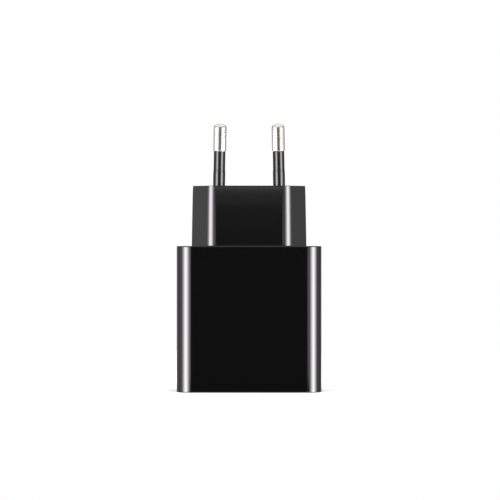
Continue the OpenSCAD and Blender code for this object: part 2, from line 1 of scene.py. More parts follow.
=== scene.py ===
"""Looks of the USB wall charger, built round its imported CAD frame.

The axes are the frame's own: +Z runs along the mains pins, -Y out of the front face, and the origin
is the middle of the end face that holds the USB socket. Sizes below are in millimetres, and are
turned into metres where a mesh is made.
"""

import math

import bmesh
import bpy
from mathutils import Matrix, Vector


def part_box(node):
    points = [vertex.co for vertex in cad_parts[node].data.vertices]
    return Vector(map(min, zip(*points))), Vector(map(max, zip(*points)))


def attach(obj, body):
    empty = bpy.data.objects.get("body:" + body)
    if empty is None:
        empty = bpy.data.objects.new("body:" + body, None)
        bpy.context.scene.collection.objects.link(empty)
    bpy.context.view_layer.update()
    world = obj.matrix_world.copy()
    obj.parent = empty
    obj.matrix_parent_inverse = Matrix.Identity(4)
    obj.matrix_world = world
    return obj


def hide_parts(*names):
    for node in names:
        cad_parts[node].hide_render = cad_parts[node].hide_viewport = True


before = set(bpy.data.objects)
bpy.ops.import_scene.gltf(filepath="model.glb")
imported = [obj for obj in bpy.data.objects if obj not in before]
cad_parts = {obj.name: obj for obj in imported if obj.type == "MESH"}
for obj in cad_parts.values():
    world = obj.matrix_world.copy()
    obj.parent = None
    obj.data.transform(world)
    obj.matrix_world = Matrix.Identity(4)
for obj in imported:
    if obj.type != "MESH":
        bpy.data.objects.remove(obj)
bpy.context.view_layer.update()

MM = 0.001
ROOT = "charger"
SIDES = {"left": -1, "right": 1}


def size_of(node):
    """Lowest and highest corner of a CAD node, in millimetres."""
    low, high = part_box(node)
    return low / MM, high / MM


def middle_of(node):
    low, high = size_of(node)
    return (low + high) / 2


# ---- sizes, in millimetres ----

case_low, case_high = size_of("case_body")
cover_low, cover_high = size_of("plug_cover")
board_low, board_high = size_of("power_board")

CASE_W = case_high.x - case_low.x
CASE_D = case_high.y - case_low.y
CASE_H = case_high.z
CORNER_R = 4.5
WALL = 2.0
RIM = 1.4
TOP_EDGE = 0.35
END_EDGE = 0.2
FINE_EDGE = 0.15

PLATE_W = cover_high.x - cover_low.x
PLATE_D = cover_high.y - cover_low.y
PLATE_T = 2.0
PLATE_R = CORNER_R - RIM - 0.1
FACE_Z = cover_high.z
SKIRT_Z = cover_low.z
SKIRT_T = 1.2
SKIRT_GAP = 0.1
SNAP_X = 10
SNAP_W = 5
SNAP_DROP = 4
SNAP_GAP = 0.1

NECK_W = 35.1
NECK_D = 13.7
NECK_FACET = 5.7
NECK_R = 4.5
NECK_TIP_R = 0.5
NECK_DRAFT = math.radians(1)
NECK_WALL = 1.8
NECK_TOP_T = 2.0
CROWN = 0.0225
CROWN_REACH = 6.0
BOSS_R = 3.3
BOSS_LEN = 6.8
RIB_T = 1.2

PIN_R = 2.0
PIN_LEN = 19.1
PIN_PITCH = 18.4
PIN_TIP_PITCH = 17.7
PIN_LEAN = math.atan((PIN_PITCH - PIN_TIP_PITCH) / 2 / PIN_LEN)
SLEEVE_LEN = 10.65
SLEEVE_BASE_R = 1.85
SLEEVE_R = 1.775
CORE_R = 1.3

USB_W = 12.5
USB_H = 5.12
USB_T = 0.3
USB_MOUTH_Z = 0.5
USB_REAR_Z = 14.3
TONGUE_W = 11.1
TONGUE_LOW_Y = -1.91
TONGUE_HIGH_Y = -0.07
TONGUE_TIP_Z = 1.4
BLOCK_Z = 10.3
CONTACT_T = 0.25
CONTACT_ROOT_Y = TONGUE_HIGH_Y - 0.38
CONTACT_CREST_Y = TONGUE_HIGH_Y + 0.415
LEAF_X = 3.2
LEAF_W = 1.8

BOARD_T = board_high.y - board_low.y
LEAD_R = 0.3
SEAL_T = 1.4
SEAL_INSET = 0.8


# ---- outlines, as lists of (x, y) in millimetres, anticlockwise ----


def arc(centre, radius, start, end, count):
    """Points on an arc between two angles in degrees."""
    angles = [math.radians(start + (end - start) * i / (count - 1)) for i in range(count)]
    return [(centre[0] + radius * math.cos(a), centre[1] + radius * math.sin(a)) for a in angles]


def mirrored(quarter):
    """Whole outline from its quarter between the +X and the +Y side."""
    back = quarter[::-1]
    return (
        quarter
        + [(-x, y) for x, y in back]
        + [(-x, -y) for x, y in quarter]
        + [(x, -y) for x, y in back]
    )


def rounded_rect(w, d, r, points=28):
    return mirrored(arc((w / 2 - r, d / 2 - r), r, 0, 90, points))


def neck_outline(inset):
    """Outline of the neck, set in from its size at the case: flat front, slanted facets, flat sides."""
    w = NECK_W / 2 - inset
    d = NECK_D / 2 - inset
    facet = NECK_FACET - (2 - math.sqrt(2)) * inset
    r = NECK_R - inset
    run = r * math.tan(math.radians(22.5))
    tip_run = NECK_TIP_R * math.tan(math.radians(22.5))
    tip = arc((w - NECK_TIP_R, d - facet - tip_run), NECK_TIP_R, 0, 45, 8)
    front = arc((w - facet - run, d - r), r, 45, 90, 20)
    return mirrored(tip + front)


def fillet(inset_0, z_0, inset_1, z_1, along_z, steps=5):
    """Quarter round between two (inset, z) points, which leaves the first along z or the inset."""
    places = []
    for i in range(steps + 1):
        a = math.pi / 2 * i / steps
        slow, fast = 1 - math.cos(a), math.sin(a)
        s, c = (slow, fast) if along_z else (fast, slow)
        places.append((inset_0 + (inset_1 - inset_0) * s, z_0 + (z_1 - z_0) * c))
    return places


def smooth_line(points, cut, steps=6):
    """Line through these points, its corners rounded from cut before each to cut after it."""
    points = [Vector(p) for p in points]
    line = [points[0]]
    for before, corner, after in zip(points, points[1:], points[2:]):
        start = corner + (before - corner).normalized() * cut
        end = corner + (after - corner).normalized() * cut
        for i in range(steps + 1):
            t = i / steps
            line.append(start * (1 - t) ** 2 + corner * 2 * t * (1 - t) + end * t**2)
    return line + [points[-1]]


def strip_outline(line, thickness):
    """Closed outline of a bent strip, from the middle line of its side view."""
    sides = []
    for i, place in enumerate(line):
        along = line[min(i + 1, len(line) - 1)] - line[max(i - 1, 0)]
        out = Vector((-along.y, along.x)).normalized() * thickness / 2
        sides.append((place + out, place - out))
    return [tuple(a) for a, _ in sides] + [tuple(b) for _, b in reversed(sides)]


# ---- mesh makers ----

# Points closer than this are one point, in metres
WELD = 1e-7
# Slivers thinner than this are what boolean steps leave, in metres
SLIVER = 1e-6
# A profile point nearer to the axis than this lies on it, in millimetres
ON_AXIS = 1e-6
# Edges that bend more than this are sharp, in degrees
SHARP_ANGLE = 40


def new_object(name, data):
    made = bpy.data.objects.new(name, data)
    bpy.context.scene.collection.objects.link(made)
    return made


def finish_mesh(name, bm):
    bmesh.ops.remove_doubles(bm, verts=bm.verts, dist=WELD)
    bmesh.ops.recalc_face_normals(bm, faces=bm.faces)
    mesh = bpy.data.meshes.new(name)
    bm.to_mesh(mesh)
    bm.free()
    return new_object(name, mesh)


def loft(name, rings, closed_loop=False):
    """Skin through rings of (outline, z). A closed loop joins the last ring to the first one, and
    otherwise both ends are capped."""
    bm = bmesh.new()
    rows = [[bm.verts.new((x * MM, y * MM, z * MM)) for x, y in outline] for outline, z in rings]
    following = rows[1:] + rows[:1] if closed_loop else rows[1:]
    for low, high in zip(rows, following):
        for i in range(len(low)):
            j = (i + 1) % len(low)
            bm.faces.new((low[i], low[j], high[j], high[i]))
    if not closed_loop:
        bm.faces.new(rows[0])
        bm.faces.new(rows[-1])
    return finish_mesh(name, bm)


def lathe(name, profile, segments=96):
    """Turned solid about Z from a closed (radius, z) profile. A point at radius 0 lies on the axis."""
    bm = bmesh.new()
    angles = [2 * math.pi * i / segments for i in range(segments)]
    rows = []
    for r, z in profile:
        around = [0] if r < ON_AXIS else angles
        rows.append([bm.verts.new((r * math.cos(a) * MM, r * math.sin(a) * MM, z * MM)) for a in around])
    for low, high in zip(rows, rows[1:] + rows[:1]):
        if len(low) == len(high) == 1:
            continue
        for i in range(segments):
            j = (i + 1) % segments
            corners = (low[i % len(low)], low[j % len(low)], high[j % len(high)], high[i % len(high)])
            bm.faces.new(list(dict.fromkeys(corners)))
    return finish_mesh(name, bm)


def bevel_all(bm, edges, offset, segments=2):
    settings = {"segments": segments, "profile": 0.5, "affect": "EDGES"}
    bmesh.ops.bevel(bm, geom=list(edges), offset=offset * MM, **settings)


def block(name, low, high, bevel=0.0):
    """Box between two corners, with rounded edges."""
    bm = bmesh.new()
    bmesh.ops.create_cube(bm, size=1)
    size = Vector(high) - Vector(low)
    middle = (Vector(high) + Vector(low)) / 2
    for v in bm.verts:
        v.co = Vector([(v.co[k] * size[k] + middle[k]) * MM for k in range(3)])
    if bevel:
        bevel_all(bm, bm.edges, bevel)
    return finish_mesh(name, bm)


def stack(width, length, corner, points, steps):
    """Rings of a rounded rectangle, from (inset, z) steps."""
    return [(rounded_rect(width - 2 * i, length - 2 * i, corner, points), z) for i, z in steps]


def prism(name, outline, thickness, bevel=0.0):
    """Flat piece of an (x, y) outline, centred on z = 0, with the edges of its faces rounded."""
    bm = bmesh.new()
    rows = [[bm.verts.new((x * MM, y * MM, s * thickness / 2 * MM)) for x, y in outline] for s in (-1, 1)]
    for i in range(len(outline)):
        j = (i + 1) % len(outline)
        bm.faces.new((rows[0][i], rows[0][j], rows[1][j], rows[1][i]))
    faces = [bm.faces.new(row) for row in rows]
    if bevel:
        bevel_all(bm, {e for f in faces for e in f.edges}, bevel)
    return finish_mesh(name, bm)


# Turns x, y, z into y, z, x
CYCLE = Matrix(((0, 0, 1, 0), (1, 0, 0, 0), (0, 1, 0, 0), (0, 0, 0, 1)))


def across(name, outline, x, width, bevel=0.0):
    """Prism along X from a (y, z) outline, centred on x."""
    return moved(prism(name, outline, width, bevel), Matrix.Translation((x * MM, 0, 0)) @ CYCLE)


def wire(name, points, radius, cut=0.6):
    """Round wire along a line of points, bent smoothly at its corners."""
    line = smooth_line(points, cut)
    curve = bpy.data.curves.new(name, "CURVE")
    curve.dimensions = "3D"
    curve.bevel_depth = radius * MM
    curve.bevel_resolution = 4
    curve.use_fill_caps = True
    spline = curve.splines.new("POLY")
    spline.points.add(len(line) - 1)
    for point, place in zip(spline.points, line):
        point.co = (*(place * MM), 1)
    source = new_object(name, curve)
    bm = bmesh.new()
    bm.from_mesh(mesh_now(source))
    bpy.data.objects.remove(source)
    return finish_mesh(name, bm)


def mesh_now(thing):
    """New mesh of an object as its modifiers leave it."""
    bpy.context.view_layer.update()
    return bpy.data.meshes.new_from_object(thing.evaluated_get(bpy.context.evaluated_depsgraph_get()))


def moved(piece, matrix):
    piece.data.transform(matrix)
    return piece


def shift(x, y, z):
    return Matrix.Translation((x * MM, y * MM, z * MM))


def turn(degrees, axis):
    return Matrix.Rotation(math.radians(degrees), 4, axis)


def combine(piece, others, operation):
    """Applies boolean steps to a piece and removes the other objects."""
    for other in others:
        step = piece.modifiers.new("step", "BOOLEAN")
        step.operation = operation
        step.solver = "EXACT"
        step.object = other
        result = mesh_now(piece)
        piece.modifiers.clear()
        piece.data = result
        bpy.data.objects.remove(other)
    mend(piece.data)
    return piece


def mend(mesh):
    """Removes the slivers of no width that boolean steps leave, and closes the gaps beside them."""
    bm = bmesh.new()
    bm.from_mesh(mesh)
    bmesh.ops.remove_doubles(bm, verts=bm.verts, dist=SLIVER)
    bmesh.ops.dissolve_degenerate(bm, dist=SLIVER, edges=bm.edges)
    bmesh.ops.holes_fill(bm, edges=[edge for edge in bm.edges if edge.is_boundary], sides=0)
    many_sided = [face for face in bm.faces if len(face.verts) > 4]
    bmesh.ops.triangulate(bm, faces=many_sided, quad_method="BEAUTY", ngon_method="BEAUTY")
    bmesh.ops.dissolve_degenerate(bm, dist=SLIVER, edges=bm.edges)
    bm.to_mesh(mesh)
    bm.free()


def join(name, pieces):
    """One object of several that don't touch."""
    bm = bmesh.new()
    for piece in pieces:
        bm.from_mesh(piece.data)
        bpy.data.objects.remove(piece)
    return finish_mesh(name, bm)


def smooth(piece):
    """Smooth shading that leaves flat faces flat: weighted normals, split at the sharp edges."""
    piece.data.shade_smooth()
    piece.data.set_sharp_from_angle(angle=math.radians(SHARP_ANGLE))
    weigh = piece.modifiers.new("weighted_normals", "WEIGHTED_NORMAL")
    weigh.keep_sharp = True
    weigh.weight = 60


def solids_of(node):
    """(lowest, highest) corners of the separate solids in a CAD node, in millimetres."""
    bm = bmesh.new()
    bm.from_mesh(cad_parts[node].data)
    bmesh.ops.remove_doubles(bm, verts=bm.verts, dist=WELD)
    waiting = set(bm.verts)
    boxes = []
    while waiting:
        found = []
        front = [waiting.pop()]
        while front:
            v = front.pop()
            found.append(v.co / MM)
            near = {e.other_vert(v) for e in v.link_edges} & waiting
            waiting -= near
            front += near
        low = Vector([min(p[k] for p in found) for k in range(3)])
        high = Vector([max(p[k] for p in found) for k in range(3)])
        boxes.append((low, high))
    bm.free()
    return sorted(boxes, key=lambda box: tuple(round(c, 3) for c in box[0]))


# ---- materials ----


def link(tree, value, socket):
    """Sets a socket, or links it if the value is another node's output."""
    if isinstance(value, bpy.types.NodeSocket):
        tree.links.new(value, socket)
    else:
        socket.default_value = value


def add_node(tree, kind, inputs=None, **settings):
    made = tree.nodes.new("ShaderNode" + kind)
    for key, value in settings.items():
        setattr(made, key, value)
    for key, value in (inputs or {}).items():
        link(tree, value, made.inputs[key])
    return made


class Surface:
    """A principled material with procedural touches, in the space of the object it is on. Other
    sockets of the shader are set by name, with _ for a space."""

    def __init__(self, name, color, roughness, **sockets):
        self.material = bpy.data.materials.new(name)
        self.material.use_nodes = True
        self.tree = self.material.node_tree
        self.shader = self.tree.nodes["Principled BSDF"]
        self.color = color
        self.space = self.add("TexCoord").outputs["Object"]
        self.normal = None
        sockets.update(Base_Color=(*color, 1), Roughness=roughness)
        for socket, value in sockets.items():
            self.shader.inputs[socket.replace("_", " ")].default_value = value

    def add(self, kind, inputs=None, **settings):
        return add_node(self.tree, kind, inputs, **settings)

    def noise(self, size_mm, detail=2.0, along=(1, 1, 1)):
        """Noise with features of about that size, drawn out where along is below 1."""
        vector = self.add("Mapping", {"Vector": self.space, "Scale": along}).outputs["Vector"]
        made = self.add("TexNoise", {"Vector": vector, "Scale": 1 / (size_mm * MM), "Detail": detail})
        return made.outputs["Fac"]

    def bands(self, size_mm, direction, distortion=0.0):
        """Parallel bands across an axis, each of that size."""
        inputs = {"Vector": self.space, "Scale": math.pi / 10 / (size_mm * MM), "Distortion": distortion}
        return self.add("TexWave", inputs, bands_direction=direction).outputs["Fac"]

    def cells(self, size_mm):
        """Distance to the edges of random cells of about that size."""
        inputs = {"Vector": self.space, "Scale": 1 / (size_mm * MM)}
        return self.add("TexVoronoi", inputs, feature="DISTANCE_TO_EDGE").outputs["Distance"]

    def vary_roughness(self, factor, low, high):
        spread = self.add("MapRange", {"Value": factor, "To Min": low, "To Max": high})
        link(self.tree, spread.outputs["Result"], self.shader.inputs["Roughness"])

    def vary_color(self, factor, other, low=0.35, high=0.65):
        """Blends from the base colour to another one as the factor passes from low to high."""
        ramp = self.add("ValToRGB", {"Fac": factor})
        for element, at, color in zip(ramp.color_ramp.elements, (low, high), (self.color, other)):
            element.position = at
            element.color = (*color, 1)
        link(self.tree, ramp.outputs["Color"], self.shader.inputs["Base Color"])

    def bump(self, factor, height_mm):
        """Raises the surface by height_mm where the factor is 1."""
        inputs = {"Height": factor, "Distance": height_mm * MM, "Strength": 1.0}
        if self.normal is not None:
            inputs["Normal"] = self.normal
        self.normal = self.add("Bump", inputs).outputs["Normal"]
        link(self.tree, self.normal, self.shader.inputs["Normal"])


def shade(color, factor):
    return tuple(c * factor for c in color)


def gloss_plastic(name, color, low=0.05, high=0.08, wave_mm=0.001, specular=0.5):
    """Moulded glossy plastic: slightly uneven gloss, and a faint long wave left by the mould."""
    tint = (1.0, 0.97, 1.0, 1)
    made = Surface(name, color, (low + high) / 2, Specular_IOR_Level=specular, Specular_Tint=tint)
    made.vary_roughness(made.noise(0.8, detail=5), low, high)
    made.bump(made.noise(6, detail=1), wave_mm)
    made.bump(made.noise(0.12, detail=3), 0.00004)
    return made.material


def matte(name, color, low, high, grain_mm=0.15, height_mm=0.01, spread=1.3, **sockets):
    """Moulded, dipped or sintered surface: a fine grain, and a colour that varies a little."""
    made = Surface(name, color, (low + high) / 2, **sockets)
    made.vary_color(made.noise(3, detail=4), shade(color, spread))
    made.vary_roughness(made.noise(grain_mm * 3, detail=3), low, high)
    made.bump(made.noise(grain_mm, detail=3), height_mm)
    return made.material


def metal(name, color, low, high, along=(1, 1, 1), grain_mm=0.06, height_mm=0.0004):
    """Plated or drawn metal, with its fine marks drawn out where along is below 1."""
    made = Surface(name, color, (low + high) / 2, Metallic=1.0)
    made.vary_color(made.noise(2, detail=3), shade(color, 0.9))
    made.vary_roughness(made.noise(0.7, detail=4), low, high)
    made.bump(made.noise(grain_mm, detail=2, along=along), height_mm)
    return made.material


def enamelled(name, color, **sockets):
    """Metal or coloured wire under clear enamel, with lighter and darker turns."""
    made = Surface(name, color, 0.3, Coat_Weight=0.8, Coat_Roughness=0.12, **sockets)
    made.vary_color(made.noise(0.5, detail=3, along=(1, 0.2, 0.2)), shade(color, 0.7))
    made.vary_roughness(made.noise(0.3), 0.22, 0.38)
    made.bump(made.noise(0.1), 0.001)
    return made.material


def laminate(name, color):
    """Green solder mask: lighter and slightly raised over copper tracks, with a faint glass weave."""
    made = Surface(name, color, 0.35, Coat_Weight=0.3, Coat_Roughness=0.15)
    tracks = made.cells(4)
    made.vary_color(tracks, (0.05, 0.22, 0.07), 0.06, 0.09)
    made.bump(tracks, 0.03)
    made.bump(made.bands(0.25, "X", 0.3), 0.002)
    made.bump(made.bands(0.25, "Z", 0.3), 0.002)
    made.vary_roughness(made.noise(0.6, detail=4), 0.28, 0.42)
    return made.material


MATERIALS = {
    "case_plastic": gloss_plastic("case_gloss_black", (0.0007, 0.0007, 0.0008)),
    "cover_plastic": gloss_plastic("cover_gloss_black", (0.0009, 0.0008, 0.0009)),
    "sleeve_plastic": gloss_plastic("sleeve_black", (0.001, 0.0009, 0.001), 0.16, 0.22, 0.004, 0.32),
    "pin_metal": metal("nickel_plate", (0.86, 0.83, 0.79), 0.07, 0.11, (1, 1, 0.05), 0.12, 0.00001),
    "insulation_film": matte("insulation_film", (0.62, 0.6, 0.52), 0.25, 0.4, 1.5, 0.004, 1.05),
    "strap_brass": metal("rolled_brass", (0.72, 0.53, 0.22), 0.2, 0.32, (1, 1, 0.05)),
    "board_laminate": laminate("solder_mask", (0.02, 0.11, 0.035)),
    "solder": metal("solder", (0.6, 0.61, 0.63), 0.12, 0.3, grain_mm=0.3, height_mm=0.01),
    "fuse_coating": matte("fuse_coating", (0.2, 0.27, 0.14), 0.35, 0.5, 0.3, 0.01),
    "varistor_coating": matte("varistor_coating", (0.02, 0.1, 0.34), 0.25, 0.4, 0.6, 0.02),
    "ferrite": matte("ferrite", (0.045, 0.045, 0.048), 0.45, 0.65, 0.08, 0.006),
    "copper_wire": enamelled("copper_enamel", (0.62, 0.2, 0.06), Metallic=0.9),
    "insulated_wire": enamelled("insulated_wire", (0.68, 0.27, 0.05)),
    "chip_resin": matte("chip_resin", (0.012, 0.012, 0.013), 0.45, 0.6, 0.05, 0.004),
    "capacitor_can": metal("drawn_aluminium", (0.78, 0.79, 0.8), 0.22, 0.34, (1, 1, 0.08)),
    "capacitor_sleeve": matte("shrink_sleeve", (0.018, 0.02, 0.026), 0.22, 0.34, 1.2, 0.004),
    "capacitor_seal": matte("seal_rubber", (0.03, 0.03, 0.03), 0.6, 0.8, 0.1, 0.008),
    "bobbin_plastic": matte("bobbin_plastic", (0.74, 0.7, 0.62), 0.4, 0.55, 0.12, 0.004, 1.05),
    "tinned_wire": metal("tinned_wire", (0.7, 0.7, 0.72), 0.15, 0.3, grain_mm=0.1),
    "polyester_tape": matte("polyester_tape", (0.79, 0.56, 0.03), 0.18, 0.28, 0.8, 0.006, 0.92),
    "optocoupler_resin": matte("white_resin", (0.74, 0.72, 0.67), 0.4, 0.55, 0.06, 0.004, 1.04),
    "safety_capacitor_coating": matte("blue_dip", (0.04, 0.18, 0.46), 0.25, 0.4, 0.6, 0.02),
    "chip_resistor_body": matte("resistor_glaze", (0.015, 0.015, 0.017), 0.2, 0.35, 0.1, 0.002),
    "chip_capacitor_body": matte("capacitor_ceramic", (0.42, 0.26, 0.13), 0.35, 0.5, 0.1, 0.003, 1.1),
    "shell_steel": metal("shell_nickel", (0.74, 0.74, 0.75), 0.16, 0.28, (1, 1, 0.05)),
    "usb_plastic": matte("socket_plastic", (0.8, 0.79, 0.76), 0.35, 0.5, 0.1, 0.003, 1.04),
    "contact_metal": metal("gold_plate", (0.86, 0.62, 0.24), 0.12, 0.22, (1, 1, 0.1)),
}


def put(piece, slot, *nodes, body=ROOT):
    """Gives a finished piece its slot's material and its body, and hides the CAD nodes that it stands for.
    """
    smooth(piece)
    piece.data.materials.clear()
    piece.data.materials.append(MATERIALS[slot])
    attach(piece, body)
    if nodes:
        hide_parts(*nodes)


# ---- case ----


def case_ring(inset, z):
    return rounded_rect(CASE_W - 2 * inset, CASE_D - 2 * inset, max(CORNER_R - inset, 0.3)), z


def window_ring(grow, z, corner):
    w = USB_W + 2 * USB_T + 2 * grow
    d = USB_H + 2 * USB_T + 2 * grow
    return rounded_rect(w, d, corner), z


def snap_wedges(grow):
    """The four snaps of the cover's skirt, or their pockets when grown."""
    skirt_y = CASE_D / 2 - WALL - SKIRT_GAP
    z = CASE_H - PLATE_T - SNAP_DROP
    root = -0.3
    out = 0.5 + grow
    outline = [(root, -1 - grow), (out, 0.2 - grow), (out, 0.4 + grow), (root, 0.4 + grow)]
    return [
        across("snap", [(side * (skirt_y + y), z + dz) for y, dz in outline], x, SNAP_W + 2 * grow)
        for x in (-SNAP_X, SNAP_X)
        for side in (-1, 1)
    ]


def make_case():
    """Deep shell with a fine rounded rim, the seat of the cover, and the socket's window in its end."""
    seat_z = CASE_H - PLATE_T
    recess = 0.5
    window = 0.25
    surround = 1.3
    rings = [case_ring(*p) for p in fillet(END_EDGE, 0, 0, END_EDGE, False)]
    rings += [case_ring(0, CASE_H * k / 8) for k in range(1, 8)]
    rings += [case_ring(*p) for p in fillet(0, CASE_H - TOP_EDGE, TOP_EDGE, CASE_H, True)]
    rings += [case_ring(*p) for p in fillet(RIM - FINE_EDGE, CASE_H, RIM, CASE_H - FINE_EDGE, False)]
    rings += [case_ring(RIM, seat_z), case_ring(WALL, seat_z), case_ring(WALL, WALL)]
    rings += [window_ring(window, WALL, 1), window_ring(window, recess + FINE_EDGE, 1)]
    rings += [window_ring(window + FINE_EDGE, recess, 1.1), window_ring(surround, recess, 2)]
    rings += [window_ring(surround + i, z, 2) for i, z in fillet(0, FINE_EDGE, FINE_EDGE, 0, True)]
    case = loft("case_shell", rings, closed_loop=True)

    inner_x = CASE_W / 2 - WALL
    rail_t = 1.4
    rail_reach = 1
    rail_gap = 0.1
    sunk = 0.5
    rail_top = SKIRT_Z - 0.6
    rails = []
    for side in SIDES.values():
        x = sorted((side * (inner_x - rail_reach), side * (inner_x + sunk)))
        for y in (board_low.y - rail_gap - rail_t, board_high.y + rail_gap):
            rails.append(block("rail", (x[0], y, WALL - sunk), (x[1], y + rail_t, rail_top)))
    combine(case, rails, "UNION")
    combine(case, snap_wedges(SNAP_GAP), "DIFFERENCE")
    put(case, "case_plastic", "case_body")


# ---- plug cover ----


def neck_ring(inset, z):
    """Ring of the neck at a height, with its draft. Near the end face the sides curve in a little."""
    to_face = max(FACE_Z - z, 0.3)
    crown = CROWN * math.log(max(CROWN_REACH / to_face, 1))
    return neck_outline(inset + crown + (z - CASE_H) * math.tan(NECK_DRAFT)), z


def plate_ring(inset, z):
    return rounded_rect(PLATE_W - 2 * inset, PLATE_D - 2 * inset, PLATE_R - inset), z


def skirt_ring(inset, z):
    grow = RIM + 0.1 - WALL - SKIRT_GAP - inset
    return rounded_rect(PLATE_W + 2 * grow, PLATE_D + 2 * grow, PLATE_R + grow), z


def at_pin(side):
    """Frame of a pin: origin in the neck's end face, +Z along the leaning pin."""
    return shift(side * PIN_PITCH / 2, 0, FACE_Z) @ Matrix.Rotation(-side * PIN_LEAN, 4, "Y")


def make_cover():
    """Closing plate, skirt and faceted neck as one moulding, with the pins' holes cut from it."""
    under = CASE_H - PLATE_T
    base_round = 0.12
    edge = 0.12
    rings = [neck_ring(NECK_WALL, FACE_Z - NECK_TOP_T), neck_ring(NECK_WALL, under)]
    rings += [skirt_ring(SKIRT_T, under), skirt_ring(SKIRT_T, SKIRT_Z)]
    rings += [skirt_ring(0, SKIRT_Z), skirt_ring(0, under), plate_ring(0, under)]
    rings += [plate_ring(*p) for p in fillet(0, CASE_H - FINE_EDGE, FINE_EDGE, CASE_H, True)]
    rings += [neck_ring(*p) for p in fillet(-base_round, CASE_H, 0, CASE_H + base_round, False)]
    steps = 36
    height = FACE_Z - edge - CASE_H - base_round
    rings += [neck_ring(0, FACE_Z - edge - height * (1 - k / steps) ** 2) for k in range(1, steps)]
    rings += [neck_ring(*p) for p in fillet(0, FACE_Z - edge, edge, FACE_Z, True)]
    cover = loft("cover_shell", rings)

    rib_low = (-PIN_PITCH / 2, -RIB_T / 2, FACE_Z - BOSS_LEN + 0.5)
    rib = block("rib", rib_low, (PIN_PITCH / 2, RIB_T / 2, FACE_Z - 1.5))
    boss = [(0, -BOSS_LEN), (BOSS_R, -BOSS_LEN), (BOSS_R, -1), (0, -1)]
    bosses = [moved(lathe("boss", boss), at_pin(side)) for side in SIDES.values()]
    combine(cover, bosses + [rib] + snap_wedges(0), "UNION")
    relief_r = SLEEVE_BASE_R + 0.2
    relief = 0.3
    lip = 0.08
    hole = [(0, -BOSS_LEN - 1), (PIN_R, -BOSS_LEN - 1), (PIN_R, -relief), (relief_r, -relief)]
    hole += [(relief_r, -lip), (relief_r + lip, 0), (relief_r + lip, 1), (0, 1)]
    combine(cover, [moved(lathe("hole", hole), at_pin(side)) for side in SIDES.values()], "DIFFERENCE")
    put(cover, "cover_plastic", "plug_cover")


# ---- mains pins ----


def pin_profile():
    """Rivet tail, grooved root, thin core under the sleeve, and a bare end with a domed tip."""
    rim = 0.06
    dome_h = 1.25
    points = [(0, -8.2), (1.7, -8.2), (1.9, -8.0), (1.9, -7.4), (1.25, -7.4), (1.25, -6.8), (PIN_R, -6.8)]
    groove_r = PIN_R - 0.3
    for low, high in ((-5.4, -4.6), (-3.6, -2.8)):
        points += [(PIN_R, low), (groove_r, low), (groove_r, high), (PIN_R, high)]
    points += [(PIN_R, -1), (CORE_R, -1), (CORE_R, SLEEVE_LEN), (PIN_R - rim, SLEEVE_LEN)]
    points += arc((PIN_R - rim, SLEEVE_LEN + rim), rim, -90, 0, 5)
    dome = arc((0, 0), 1, 0, 90, 18)
    return points + [(PIN_R * r, PIN_LEN - dome_h * (1 - z)) for r, z in dome]


def sleeve_profile():
    """Sleeve on the pin's core, slightly thinner towards its free end."""
    inside = CORE_R + 0.01
    top = SLEEVE_LEN - 0.02
    lip = 0.06
    points = [(inside, -0.95), (SLEEVE_BASE_R, -0.95), (SLEEVE_BASE_R, 4.0)]
    points += [(SLEEVE_BASE_R - 0.01, 4.3), (SLEEVE_R + 0.01, 5.0), (SLEEVE_R, 5.3)]
    return points + [(SLEEVE_R, top - 0.08), (SLEEVE_R - lip, top), (inside, top)]


def make_pins():
    for name, side in SIDES.items():
        metal_part = moved(lathe("pin_metal_" + name, pin_profile()), at_pin(side))
        put(metal_part, "pin_metal", "mains_pin_" + name)
        sleeve = moved(lathe("pin_jacket_" + name, sleeve_profile()), at_pin(side))
        put(sleeve, "sleeve_plastic", "pin_sleeve_" + name)


# ---- USB socket ----


def bent_strip(name, line, thickness, x, width, cut):
    """Strip of sheet, bent smoothly along a line of (y, z) points."""
    return across(name, strip_outline(smooth_line(line, cut), thickness), x, width, 0.03)


